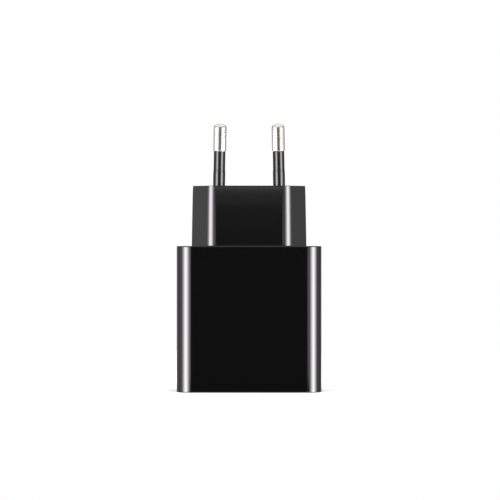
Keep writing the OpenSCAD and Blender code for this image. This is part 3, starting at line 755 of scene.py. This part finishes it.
def make_shell():
    """Folded sheet shell with a rounded mouth, a seam, four spring leaves and two legs."""
    wall_y = (USB_H + USB_T) / 2
    leaf_in = 0.35
    outer = [(USB_T, USB_MOUTH_Z + 0.1), (USB_T - 0.03, USB_MOUTH_Z + 0.03), (USB_T - 0.1, USB_MOUTH_Z)]
    inner = [(0.1, USB_MOUTH_Z), (0.03, USB_MOUTH_Z + 0.04), (0, USB_MOUTH_Z + 0.14)]
    rings = [(rounded_rect(USB_W, USB_H, 0.6, 10), USB_REAR_Z)]
    for grow, z in [(USB_T, USB_REAR_Z)] + outer + inner:
        rings.append((rounded_rect(USB_W + 2 * grow, USB_H + 2 * grow, 0.6 + grow, 10), z))
    shell = loft("usb_shell_folded", rings, closed_loop=True)

    slot_low, slot_high = 3.2, 9.2
    half_slot = LEAF_W / 2 + 0.4
    cuts = [
        block("cut", (x - half_slot, -USB_H, slot_low), (x + half_slot, USB_H, slot_high))
        for x in (-LEAF_X, LEAF_X)
    ]
    seam = 0.04
    tab_x, tab_low, tab_high = -0.9, 2.2, 4.2
    cuts += [
        block("seam", (low_x, 1, low_z), (high_x, USB_H, high_z))
        for low_x, high_x, low_z, high_z in (
            (-seam, seam, 0, tab_low),
            (tab_x, seam, tab_low - 2 * seam, tab_low),
            (tab_x, tab_x + 2 * seam, tab_low, tab_high),
            (tab_x, seam, tab_high - 2 * seam, tab_high),
            (-seam, seam, tab_high, USB_REAR_Z - 1),
        )
    ]
    combine(shell, cuts, "DIFFERENCE")
    leaf = [(wall_y, 9.6), (wall_y, 8.9), (wall_y - leaf_in, 5), (wall_y - leaf_in, 4.3)]
    leaf.append((wall_y - 0.15, 3.6))
    for x in SIDES.values():
        for side in (-1, 1):
            line = [(side * y, z) for y, z in leaf]
            combine(shell, [bent_strip("leaf", line, USB_T, x * LEAF_X, LEAF_W, 0.35)], "UNION")
        leg_x = x * (USB_W + USB_T) / 2
        half_leg = USB_T / 2 - 0.01
        low = (leg_x - half_leg, 1, 8.5)
        high = (leg_x + half_leg, board_high.y, 10.5)
        combine(shell, [block("leg", low, high, 0.06)], "UNION")
    put(shell, "shell_steel", "usb_shell")


def make_insulator(contact_places):
    """Rear block and tongue, with a slot for each contact spring."""
    bevel = 0.38
    gap = 0.1
    steps = [(0.1, BLOCK_Z), (0, BLOCK_Z + 0.1), (0, USB_REAR_Z - 0.2), (0.1, USB_REAR_Z - 0.1)]
    body = loft("usb_tongue", stack(USB_W - gap, USB_H - gap, 0.5, 6, steps))
    outline = [
        (TONGUE_LOW_Y, TONGUE_TIP_Z + bevel),
        (TONGUE_LOW_Y + bevel, TONGUE_TIP_Z),
        (TONGUE_HIGH_Y - bevel, TONGUE_TIP_Z),
        (TONGUE_HIGH_Y, TONGUE_TIP_Z + bevel),
        (TONGUE_HIGH_Y, BLOCK_Z + 0.5),
        (TONGUE_LOW_Y, BLOCK_Z + 0.5),
    ]
    combine(body, [across("tongue", outline, 0, TONGUE_W, 0.12)], "UNION")
    half = 0.6
    deep = TONGUE_HIGH_Y - 1.23
    start = TONGUE_TIP_Z + 0.5
    slots = [block("slot", (x - half, deep, start), (x + half, 1, BLOCK_Z)) for x in contact_places]
    combine(body, slots, "DIFFERENCE")
    put(body, "usb_plastic", "usb_insulator")


def make_contacts():
    """Bent springs that ride on their own bodies, and the fixed tails behind them."""
    root_z = BLOCK_Z - 0.09
    spring = [
        (CONTACT_ROOT_Y, root_z),
        (CONTACT_ROOT_Y, BLOCK_Z - 1.1),
        (CONTACT_CREST_Y, 4.4),
        (CONTACT_CREST_Y, 3.9),
        (CONTACT_ROOT_Y + 0.1, 2.4),
    ]
    tail_end = USB_REAR_Z + 0.525
    tail = [(CONTACT_ROOT_Y, BLOCK_Z + 0.01), (CONTACT_ROOT_Y, tail_end), (board_high.y, tail_end)]
    places = []
    tails = []
    for name in ("power", "data_minus", "data_plus", "ground"):
        node = "usb_contact_" + name
        x = middle_of(node).x
        places.append(x)
        made = bent_strip("contact_spring_" + name, spring, CONTACT_T, x, 1.0, 0.24)
        put(made, "contact_metal", node, body="contact_" + name)
        tails.append(bent_strip("tail", tail, CONTACT_T, x, 0.8, 0.45))
    put(join("contact_tails", tails), "contact_metal", "usb_contact_tails")
    return places


# ---- power board and the parts on it ----


def on_board(x, z):
    """Frame on the front of the board, with +Z away from it and +Y up along it."""
    return shift(x, board_low.y, z) @ turn(90, "X")


def on_back(x, z):
    """The same on the back of the board, with +Y down along it."""
    return shift(x, board_high.y, z) @ turn(-90, "X")


def site_of(node):
    middle = middle_of(node)
    return middle.x, middle.z


def make_leads(name, base, spacing, line, cut, slot="tinned_wire"):
    """Two leads side by side, each bent along a line of (y, z) points."""
    leads = [
        wire("lead", [(side * spacing / 2, y, z) for y, z in line], LEAD_R, cut)
        for side in (-1, 1)
    ]
    put(moved(join(name, leads), base), slot)


def make_solder():
    """A concave fillet of solder round the end of each lead."""
    fillets = []
    for low, high in solids_of("solder_joints"):
        r = (high.x - low.x) / 2
        h = high.y - low.y
        slope = [(r, 0), (r, 0.03), (0.72 * r, 0.1 * h), (0.52 * r, 0.3 * h), (0.42 * r, 0.6 * h)]
        tip = [(0.38 * r, 0.86 * h), (0.3 * r, 0.97 * h), (0, h)]
        base = on_back((low.x + high.x) / 2, (low.z + high.z) / 2)
        fillets.append(moved(lathe("fillet", [(0, 0)] + slope + tip, 28), base))
    put(join("solder_fillets", fillets), "solder", "solder_joints")


def make_chip_parts():
    """Small two-ended chips: a body between two plated end caps."""
    for kind in ("chip_resistor", "chip_capacitor"):
        node = kind + "s"
        bodies = []
        caps = []
        for low, high in solids_of(node):
            skin = Vector((0.03, 0.03, 0.03))
            bodies.append(block("body", low + skin, high - skin, 0.04))
            length = (high.x - low.x) * 0.2
            for x in (low.x, high.x - length):
                caps.append(block("cap", (x, low.y, low.z), (x + length, high.y, high.z), 0.06))
        put(join(kind + "_bodies", bodies), kind + "_body", node)
        put(join(kind + "_ends", caps), "tinned_wire")


def make_package(name, node, width, length, height, count, pitch):
    """Moulded chip with drafted sides and a dimple, on gull-wing legs along both long sides."""
    base = on_back(*site_of(node))
    foot = 0.1
    belly = foot + 0.45 * height
    steps = [(0.12, foot), (0, belly - 0.05), (0, belly + 0.05), (0.1, height), (0.16, foot + height)]
    body = loft(name + "_body", stack(width, length, 0.1, 3, steps))
    dimple = [(0, height - 0.02), (0.28, height + 0.08), (0.3, height + 1), (0, height + 1)]
    from_edge = 0.6
    corner = shift(from_edge - width / 2, length / 2 - from_edge, 0.04)
    combine(body, [moved(lathe("dimple", dimple, 24), corner)], "DIFFERENCE")
    put(moved(body, base), "chip_resin", node)
    half = length / 2
    line = [(half - 0.1, 0.7), (half + 0.22, 0.7), (half + 0.42, 0.1), (half + 0.88, 0.1)]
    legs = []
    for i in range(count):
        x = (i - (count - 1) / 2) * pitch
        for side in (-1, 1):
            legs.append(bent_strip("leg", [(side * y, z) for y, z in line], 0.18, x, 0.4, 0.1))
    put(moved(join(name + "_legs", legs), base), "tinned_wire")


def make_chips():
    """The small packages, from their width, length, height, legs on each side, and the legs' pitch."""
    make_package("bridge_rectifier", "bridge_rectifier", 4.7, 4, 1.6, 2, 2.54)
    make_package("controller", "controller_chip", 4.9, 3.9, 1.5, 4, 1.27)
    make_package("output_rectifier", "output_rectifier", 4.9, 3.9, 1.5, 4, 1.27)


def make_optocoupler():
    """White package with a dimple, on four straight legs through the board."""
    base = on_board(*site_of("optocoupler"))
    steps = [(0.15, 0.5), (0, 2.0), (0, 2.1), (0.15, 3.9), (0.22, 4.0)]
    body = loft("optocoupler_body", stack(6.5, 4.6, 0.15, 3, steps))
    dimple = lathe("dimple", [(0, 3.92), (0.35, 3.98), (0.4, 5), (0, 5)], 24)
    combine(body, [moved(dimple, shift(-2.4, 1.5, 0))], "DIFFERENCE")
    put(moved(body, base), "optocoupler_resin", "optocoupler")
    line = [(3.1, 2.05), (3.81, 2.05), (3.81, -BOARD_T)]
    legs = [
        moved(bent_strip("leg", [(side * y, z) for y, z in line], 0.25, x, 0.5, 0.3), turn(90, "Z"))
        for x in (-1.27, 1.27)
        for side in (-1, 1)
    ]
    put(moved(join("optocoupler_legs", legs), base), "tinned_wire")


def make_fuse():
    """Dog-bone body on one bent wire."""
    base = on_board(*site_of("fuse_resistor"))
    lift = 2.1
    half = [(1.5, 0), (1.5, 1.0), (1.62, 1.25), (1.7, 1.5), (1.7, 2.3), (1.6, 2.6), (1.35, 2.78), (0, 2.8)]
    profile = [(r, -z) for r, z in reversed(half[1:])] + half
    lying = shift(0, 0, lift) @ turn(90, "Y")
    put(moved(lathe("fuse_body", profile, 48), base @ lying), "fuse_coating", "fuse_resistor")
    line = [(-3.5, 0, -BOARD_T), (-3.5, 0, lift), (3.5, 0, lift), (3.5, 0, -BOARD_T)]
    put(moved(wire("fuse_lead", line, LEAD_R), base), "tinned_wire")


def make_dipped_disc(name, node, slot, diameter, thickness):
    """Lens-shaped dipped disc, whose coating runs down its two leads a little."""
    base = on_board(*site_of(node))
    r = diameter / 2
    half = []
    for i in range(13):
        a = math.pi / 2 * i / 12
        half.append((r * math.sin(a) ** 0.75, thickness / 2 * math.cos(a) ** 0.7))
    profile = half + [(x, -z) for x, z in reversed(half[:-1])]
    disc = moved(lathe(name, profile, 64), shift(0, 0, r + 1) @ turn(90, "X"))
    skirt = [(0, 0.75), (0.36, 0.75), (0.5, 1.1), (0.85, 2.1), (0, 2.3)]
    spacing = 5.0
    at_leads = [shift(side * spacing / 2, 0, 0) for side in (-1, 1)]
    combine(disc, [moved(lathe("skirt", skirt, 24), spot) for spot in at_leads], "UNION")
    put(moved(disc, base), slot, node)
    make_leads(name + "_leads", base, spacing, [(0, -BOARD_T), (0, 0), (0, 1)], 0.1)


def scallops(start, end, turns, reach, wire_r):
    """Side view of wound turns, as (reach, place) points from start to end."""
    pitch = (end - start) / turns
    points = []
    for i in range(turns):
        centre = start + (i + 0.5) * pitch
        for a in (-75, -40, 0, 40, 75):
            angle = math.radians(a)
            points.append((reach - wire_r + wire_r * math.cos(angle), centre + pitch / 2 * math.sin(angle)))
    return points


def make_choke_winding():
    """Turns round the waist of the choke's core, and the winding's two leads."""
    base = on_board(*site_of("line_choke_core"))
    low, high = 1.2, 5.8
    waist = 1.62
    profile = [(waist, low)] + scallops(low, high, 13, 2.8, 0.17) + [(waist, high)]
    put(moved(lathe("choke_turns", profile, 64), base), "copper_wire", "line_choke_winding")
    make_leads("choke_leads", base, 4.8, [(0, -BOARD_T), (0, 0), (0, 1.3)], 0.1, "copper_wire")


def make_transformer():
    """Two E halves, the wound coils as scalloped tubes, and the bobbin's pins."""
    middle = (middle_of("transformer_core_left") + middle_of("transformer_core_right")) / 2
    base = on_board(middle.x, middle.z) @ shift(0, 0, board_low.y - middle.y)
    half_w, half_l, centre, leg, thick = 8.1, 8.0, 2.2, 2.2, 4.8
    inner = half_w - leg
    outline = [(0, -half_l), (half_w, -half_l), (half_w, half_l), (0, half_l), (0, half_l - leg)]
    outline += [(inner, half_l - leg), (inner, centre), (0, centre), (0, -centre), (inner, -centre)]
    outline += [(inner, -half_l + leg), (0, -half_l + leg)]
    for name, side in SIDES.items():
        half = prism("core_half_" + name, [(side * x, y) for x, y in outline], thick, 0.12)
        put(moved(half, base), "ferrite", "transformer_core_" + name)

    tube_y, tube_z = 3.05, 3.25
    reach = 4.9
    for name, node, slot, low, high, turns in (
        ("primary_turns", "transformer_primary", "copper_wire", 0, 1.1, 34),
        ("secondary_turns", "transformer_secondary", "insulated_wire", 1.12, 1.95, 14),
    ):
        outer = scallops(-reach, reach, turns, high, 0.14)
        inner_line = [(low, reach), (low, -reach)]
        rings = [
            (rounded_rect(2 * (tube_y + out), 2 * (tube_z + out), max(out, 0.1), 6), x)
            for out, x in outer + inner_line
        ]
        put(moved(loft(name, rings, closed_loop=True), base @ CYCLE), slot, node)

    rods = []
    for low, high in solids_of("transformer_pins"):
        r, length = (high.x - low.x) / 2, high.y - low.y
        profile = [(0, 0), (r - 0.1, 0), (r, 0.12), (r, length - 0.12), (r - 0.1, length), (0, length)]
        lying = on_back((low.x + high.x) / 2, (low.z + high.z) / 2) @ shift(0, 0, -length)
        rods.append(moved(lathe("rod", profile, 20), lying))
    put(join("transformer_rods", rods), "tinned_wire", "transformer_pins")


def can_profile(r, h, seal_r):
    """Drawn can with its open end at 0: curled rim, rolled groove, rounded shoulder."""
    points = [(seal_r, 0.04), (seal_r + 0.1, 0), (r - 0.12, 0), (r, 0.15), (r, 1.5)]
    points += [(r - 0.12, 1.68), (r - 0.36, 1.9), (r - 0.4, 2.05)]
    points += [(r - 0.36, 2.2), (r - 0.12, 2.42), (r, 2.6)]
    points += arc((r - 0.3, h - 0.3), 0.3, 0, 90, 6)
    return points + [(0, h), (0, SEAL_T), (seal_r, SEAL_T)]


def make_can(name, node, base, r, h):
    """Can with a scored cross in its closed end."""
    can = lathe(name, can_profile(r, h, r - SEAL_INSET), 64)
    arm, half, depth = r * 0.62, 0.09, 0.12
    scores = [
        block("score", (-arm, -half, h - depth), (arm, half, h + 1)),
        block("score", (-half, -arm, h - depth), (half, arm, h + 1)),
    ]
    combine(can, scores, "DIFFERENCE")
    put(moved(can, base), "capacitor_can", node)


def make_seal(name, node, base, r, middle):
    """Rubber plug in the open end of a can, from the points in the middle of its face."""
    r -= SEAL_INSET
    rim = [(r - 0.15, 0.02), (r, 0.12), (r, SEAL_T), (0, SEAL_T)]
    put(moved(lathe(name, middle + rim, 48), base), "capacitor_seal", node)


def make_capacitors():
    """On each side, a mains can that lies along the case, and an output can on the board."""
    wall = 0.15
    lead_spacing = 2.5
    for name in SIDES:
        node = "input_capacitor_can_" + name
        low, high = size_of(node)
        r, h = (high.x - low.x) / 2, high.z - low.z
        axis_y = (low.y + high.y) / 2
        lying = shift((low.x + high.x) / 2, axis_y, low.z)
        make_can("mains_can_" + name, node, lying, r, h)
        sleeve = [(r, 0), (r + wall, 0), (r + wall, 1.6), (r + 0.02, 1.9), (r + 0.02, 2.2), (r + wall, 2.5)]
        sleeve += arc((r - 0.15, h - 0.15), 0.3, 0, 90, 6) + [(r - 1, h + wall), (r - 1, h + 0.01)]
        sleeve += [(r - 0.3, h + 0.01), (r + 0.005, h - 0.3)]
        jacket = moved(lathe("shrink_sleeve_" + name, sleeve, 64), lying)
        put(jacket, "capacitor_sleeve", node.replace("can", "sleeve"))
        hollow = [(0, 0.15), (0.9, 0.15), (1.2, 0.02)]
        make_seal("mains_can_seal_" + name, node.replace("can", "seal"), lying, r, hollow)
        line = [(0, 0.6), (0, -1), (board_high.y - axis_y, -1)]
        make_leads("mains_can_leads_" + name, lying, lead_spacing, line, 0.7)

        node = "output_capacitor_can_" + name
        low, high = size_of(node)
        r, h = (high.x - low.x) / 2, high.y - low.y
        base = on_board((low.x + high.x) / 2, (low.z + high.z) / 2) @ shift(0, 0, board_low.y - high.y)
        make_can("output_can_" + name, node, base, r, h)
        make_seal("output_can_seal_" + name, node.replace("can", "seal"), base, r, [(0, 0.02)])
        lift = high.y - board_low.y
        line = [(0, lift - BOARD_T), (0, lift), (0, 0.4)]
        make_leads("output_can_leads_" + name, base, lead_spacing, line, 0.05)


def dress_cad_nodes():
    """Materials, and softer edges, for the CAD nodes whose shapes stay as they are."""
    for node, slot, bevel in (
        ("insulation_sheet", "insulation_film", 0.05),
        ("pin_strap_left", "strap_brass", 0.06),
        ("pin_strap_right", "strap_brass", 0.06),
        ("power_board", "board_laminate", 0.05),
        ("line_choke_core", "ferrite", 0.12),
        ("transformer_bobbin", "bobbin_plastic", 0.08),
        ("transformer_winding_tape", "polyester_tape", 0.0),
        ("transformer_core_tape", "polyester_tape", 0.0),
    ):
        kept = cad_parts[node]
        for material_slot in kept.material_slots:
            material_slot.material = MATERIALS[slot]
        if bevel:
            edges = kept.modifiers.new("edges", "BEVEL")
            edges.width = bevel * MM
            edges.segments = 2
            edges.limit_method = "ANGLE"
            edges.angle_limit = math.radians(50)


make_case()
make_cover()
make_pins()
make_shell()
make_insulator(make_contacts())
make_solder()
make_chip_parts()
make_chips()
make_optocoupler()
make_fuse()
make_dipped_disc("varistor_disc", "surge_varistor", "varistor_coating", 6.6, 2.8)
make_dipped_disc("safety_disc", "safety_capacitor", "safety_capacitor_coating", 7, 3)
make_choke_winding()
make_transformer()
make_capacitors()
dress_cad_nodes()

# ---- camera, floor and light ----

CAMERA_DISTANCE = 1.0
CAMERA_HEIGHT = 0.04319
CAMERA_X = 0.00028
LENS = 235.1
SENSOR = 36
# The background is exactly the brightest white that shows
WHITE_LEVEL = 1.0
FLOOR_HALF = 0.4
FLOOR_GAP_MM = 0.02
TOP_ELEVATION = 66
TOP_DISTANCE = 1.2
TOP_SIZE = (1.0, 1.0)
TOP_RADIANCE = 5.5
SOFTBOX_HALF_ANGLE = 36
# Two softboxes stand over each other on each side, the upper one with a narrower bright middle.
# Azimuth in degrees, lowest and highest edge above the camera's height in metres, spread of the bright
# middle in degrees, radiance, and the parts of the height that fade at the low and the high edge
SOFTBOXES = {
    "softbox_low_left": (-44, -0.26, 0.019, 13.5, 23, (0.4, 0.0)),
    "softbox_low_right": (53, -0.26, 0.019, 13, 23, (0.4, 0.0)),
    "softbox_high_left": (-46.5, 0.019, 0.26, 11, 21, (0.0, 0.4)),
    "softbox_high_right": (52, 0.019, 0.26, 11, 21, (0.0, 0.4)),
}
# Dim panels to both sides of the camera, by azimuth in degrees
GLOW_PANELS = {"glow_left": -12.5, "glow_right": 12.5}
GLOW_ELEVATION = 1
GLOW_HALF_ANGLE = 9
GLOW_HEIGHT = 0.2
GLOW_SPREAD = 6
GLOW_FADES = (0.0, 0.5)
GLOW_RADIANCE = 1.45
# Brightness round the object near the horizon, by the cosine of the azimuth from the camera
HORIZON_STOPS = [
    (-1.0, 0.62), (-0.64, 0.48), (-0.39, 0.55), (0.0, 1.2), (0.5, 1.5), (0.87, 1.15), (0.94, 0.34),
    (0.985, 0.1), (1.0, 0.09),
]
# How bright the right side is next to the left one
RIGHT_SHARE = 0.8
# Brightness above the horizon, by the sine of the elevation
CEILING_STOPS = [
    (-1.0, 0.06), (0.03, 0.08), (0.05, 0.22), (0.08, 0.6), (0.12, 1.2), (0.15, 0.9), (0.2, 0.15),
    (0.4, 0.2), (0.5, 0.9), (1.0, 1.0),
]
# Brightness below the horizon: to the sides, and straight in front and behind
TABLE_LEVELS = (0.32, 9.0)
# How narrow the bright parts of the table are, as a power of the azimuth's cosine
TABLE_FOCUS = 16.0
# Where one part of the surroundings passes into the next, by the sine of the elevation
FRONT_CEILING_START = (0.02, 0.05)
SIDE_CEILING_START = (0.1, 0.16)
TABLE_START = (-0.17, -0.34)
TABLE_GLOW_START = (-0.6, -0.46)
# The same, by the cosine of the azimuth from the camera, and by the direction to the right
FRONT_EDGE = (0.97, 0.85)
RIGHT_EDGE = (-0.3, 0.3)


def make_camera():
    data = bpy.data.cameras.new("camera")
    data.lens = LENS
    data.sensor_width = SENSOR
    data.clip_start = 0.01
    data.clip_end = 20
    camera = new_object("camera", data)
    camera.location = (CAMERA_X, -CAMERA_DISTANCE, CAMERA_HEIGHT)
    camera.rotation_euler = (math.pi / 2, 0, 0)
    bpy.context.scene.camera = camera


def make_floor():
    """Plain pale floor, clear from below so that the socket can be looked at. The gloss doesn't
    mirror it: the world's lower half stands for it there."""
    bm = bmesh.new()
    bmesh.ops.create_grid(bm, x_segments=1, y_segments=1, size=FLOOR_HALF)
    floor = moved(finish_mesh("floor", bm), shift(0, 0, -FLOOR_GAP_MM))
    paint = Surface("floor_white", (0.8, 0.8, 0.8), 0.9)
    paint.vary_roughness(paint.noise(40), 0.85, 0.95)
    seen_from = {0: paint.add("NewGeometry").outputs["Backfacing"], 1: paint.shader.outputs["BSDF"]}
    seen_from[2] = paint.add("BsdfTransparent").outputs["BSDF"]
    one_sided = paint.add("MixShader", seen_from).outputs["Shader"]
    paint.tree.links.new(one_sided, paint.tree.nodes["Material Output"].inputs["Surface"])
    floor.data.materials.append(paint.material)
    floor.visible_glossy = False


def math_node(tree, operation, a, b=0.0):
    return add_node(tree, "Math", {0: a, 1: b}, operation=operation).outputs[0]


def step_node(tree, value, low, high):
    """0 before low, 1 after high, and a smooth step between them."""
    inputs = {"Value": value, "From Min": low, "From Max": high}
    return add_node(tree, "MapRange", inputs, interpolation_type="SMOOTHSTEP").outputs["Result"]


def mix_node(tree, factor, a, b):
    return add_node(tree, "Mix", {"Factor": factor, 2: a, 3: b}, data_type="FLOAT").outputs[0]


def ramp_node(tree, factor, stops):
    """Brightness along a factor from -1 to 1, from (factor, brightness) stops."""
    top = max(level for _, level in stops)
    spread = add_node(tree, "MapRange", {"Value": factor, "From Min": -1.0, "From Max": 1.0})
    made = add_node(tree, "ValToRGB", {"Fac": spread.outputs["Result"]})
    elements = made.color_ramp.elements
    for _ in range(len(stops) - 2):
        elements.new(0.5)
    for element, (at, _) in zip(elements, stops):
        element.position = (at + 1) / 2
    for element, (_, level) in zip(elements, stops):
        element.color = (level / top, level / top, level / top, 1)
    return math_node(tree, "MULTIPLY", made.outputs["Color"], top)


def area_light(name, azimuth, elevation, distance, size, radiance):
    """Rectangular light that faces the object. Azimuth 0 is the camera's side, and + is right of it."""
    data = bpy.data.lights.new(name, "AREA")
    data.shape = "RECTANGLE"
    data.size, data.size_y = size
    data.energy = radiance * math.pi * size[0] * size[1]
    light = new_object(name, data)
    a, e = math.radians(azimuth), math.radians(elevation)
    away = Vector((math.sin(a) * math.cos(e), -math.cos(a) * math.cos(e), math.sin(e)))
    light.location = Vector((0, 0, CAMERA_HEIGHT)) + away * distance
    light.rotation_euler = away.to_track_quat("Z", "Y").to_euler()
    light.visible_camera = False
    return light


def soften(light, half_angle, spread, fades):
    """Makes a light brightest in the middle of its width, as a bell of that spread in degrees, and
    fades it over parts of its height at the low and the high edge."""
    stops = []
    for angle in range(-half_angle, half_angle + 1, max(half_angle // 6, 1)):
        offset = math.tan(math.radians(angle)) / math.tan(math.radians(half_angle))
        stops.append((offset, math.exp(-0.5 * (angle / spread) ** 2)))
    light.data.use_nodes = True
    tree = light.data.node_tree
    on_panel = add_node(tree, "NewGeometry").outputs["Parametric"]
    places = add_node(tree, "SeparateXYZ", {0: on_panel})
    width_place = math_node(tree, "MULTIPLY_ADD", places.outputs["X"], 2.0)
    width_place.node.inputs[2].default_value = -1.0
    height = places.outputs["Y"]
    low = step_node(tree, height, 0.0, fades[0]) if fades[0] else 1.0
    high = step_node(tree, height, 1.0, 1.0 - fades[1]) if fades[1] else 1.0
    level = math_node(tree, "MULTIPLY", ramp_node(tree, width_place, stops), low)
    link(tree, math_node(tree, "MULTIPLY", level, high), tree.nodes["Emission"].inputs["Strength"])


def width_over(half_angle):
    """Width of a panel 1 m away that spans that many degrees to each side of its middle."""
    return 2 * math.tan(math.radians(half_angle))


def keep_off(lights, *kinds):
    """Keeps the light of these lights off some of the pins' pieces."""
    unlit = bpy.data.collections.new("unlit")
    for kind in kinds:
        for name in SIDES:
            unlit.objects.link(bpy.data.objects[kind + name])
    for item in unlit.collection_objects:
        item.light_linking.link_state = "EXCLUDE"
    for light in lights:
        bpy.data.objects[light].light_linking.receiver_collection = unlit


def make_lights():
    """Softboxes for the highlights at the corners, a light from above, and the dim panels."""
    for name, (azimuth, bottom, top, spread, radiance, fades) in SOFTBOXES.items():
        size = (width_over(SOFTBOX_HALF_ANGLE), top - bottom)
        light = area_light(name, azimuth, 0, 1.0, size, radiance)
        light.location.z += (top + bottom) / 2
        soften(light, SOFTBOX_HALF_ANGLE, spread, fades)
    overhead = area_light("top_light", 0, TOP_ELEVATION, TOP_DISTANCE, TOP_SIZE, TOP_RADIANCE)
    overhead.visible_glossy = False
    for name, azimuth in GLOW_PANELS.items():
        size = (width_over(GLOW_HALF_ANGLE), GLOW_HEIGHT)
        panel = area_light(name, azimuth, GLOW_ELEVATION, 1.0, size, GLOW_RADIANCE)
        soften(panel, GLOW_HALF_ANGLE, GLOW_SPREAD, GLOW_FADES)
    keep_off(GLOW_PANELS, "pin_metal_", "pin_jacket_")
    keep_off(["softbox_high_left", "softbox_high_right"], "pin_metal_")


def make_world():
    """White for the camera. Light and reflections come from a room that is dark behind the camera
    and pale elsewhere. Its ceiling starts lower behind the camera than beside it, and its table is
    bright straight in front and behind."""
    world = bpy.data.worlds.new("studio")
    world.use_nodes = True
    bpy.context.scene.world = world
    tree = world.node_tree
    tree.nodes.clear()

    direction = add_node(tree, "TexCoord").outputs["Generated"]
    parts = add_node(tree, "SeparateXYZ", {"Vector": direction})
    x, y, z = (parts.outputs[k] for k in range(3))
    flat_squared = math_node(tree, "SUBTRACT", 1.0, math_node(tree, "MULTIPLY", z, z))
    front = math_node(tree, "DIVIDE", y, math_node(tree, "SQRT", flat_squared))
    front = math_node(tree, "MULTIPLY", front, -1.0)

    sides = mix_node(tree, step_node(tree, x, *RIGHT_EDGE), 1.0, RIGHT_SHARE)
    around = math_node(tree, "MULTIPLY", ramp_node(tree, front, HORIZON_STOPS), sides)
    above = ramp_node(tree, z, CEILING_STOPS)
    beside = mix_node(tree, step_node(tree, z, *SIDE_CEILING_START), around, above)
    ceiling = mix_node(tree, step_node(tree, front, *FRONT_EDGE), above, beside)
    level = mix_node(tree, step_node(tree, z, *FRONT_CEILING_START), around, ceiling)
    facing = math_node(tree, "POWER", math_node(tree, "ABSOLUTE", front), TABLE_FOCUS)
    facing = math_node(tree, "MULTIPLY", facing, step_node(tree, z, *TABLE_GLOW_START))
    table = mix_node(tree, facing, *TABLE_LEVELS)
    level = mix_node(tree, step_node(tree, z, *TABLE_START), level, table)

    seen = add_node(tree, "LightPath").outputs["Is Camera Ray"]
    shown = mix_node(tree, seen, level, WHITE_LEVEL)
    background = add_node(tree, "Background", {"Color": shown, "Strength": 1.0})
    output = add_node(tree, "OutputWorld")
    tree.links.new(background.outputs["Background"], output.inputs["Surface"])


make_camera()
make_floor()
make_lights()
make_world()
bpy.context.scene.view_settings.view_transform = "Standard"
bpy.context.scene.view_settings.look = "None"
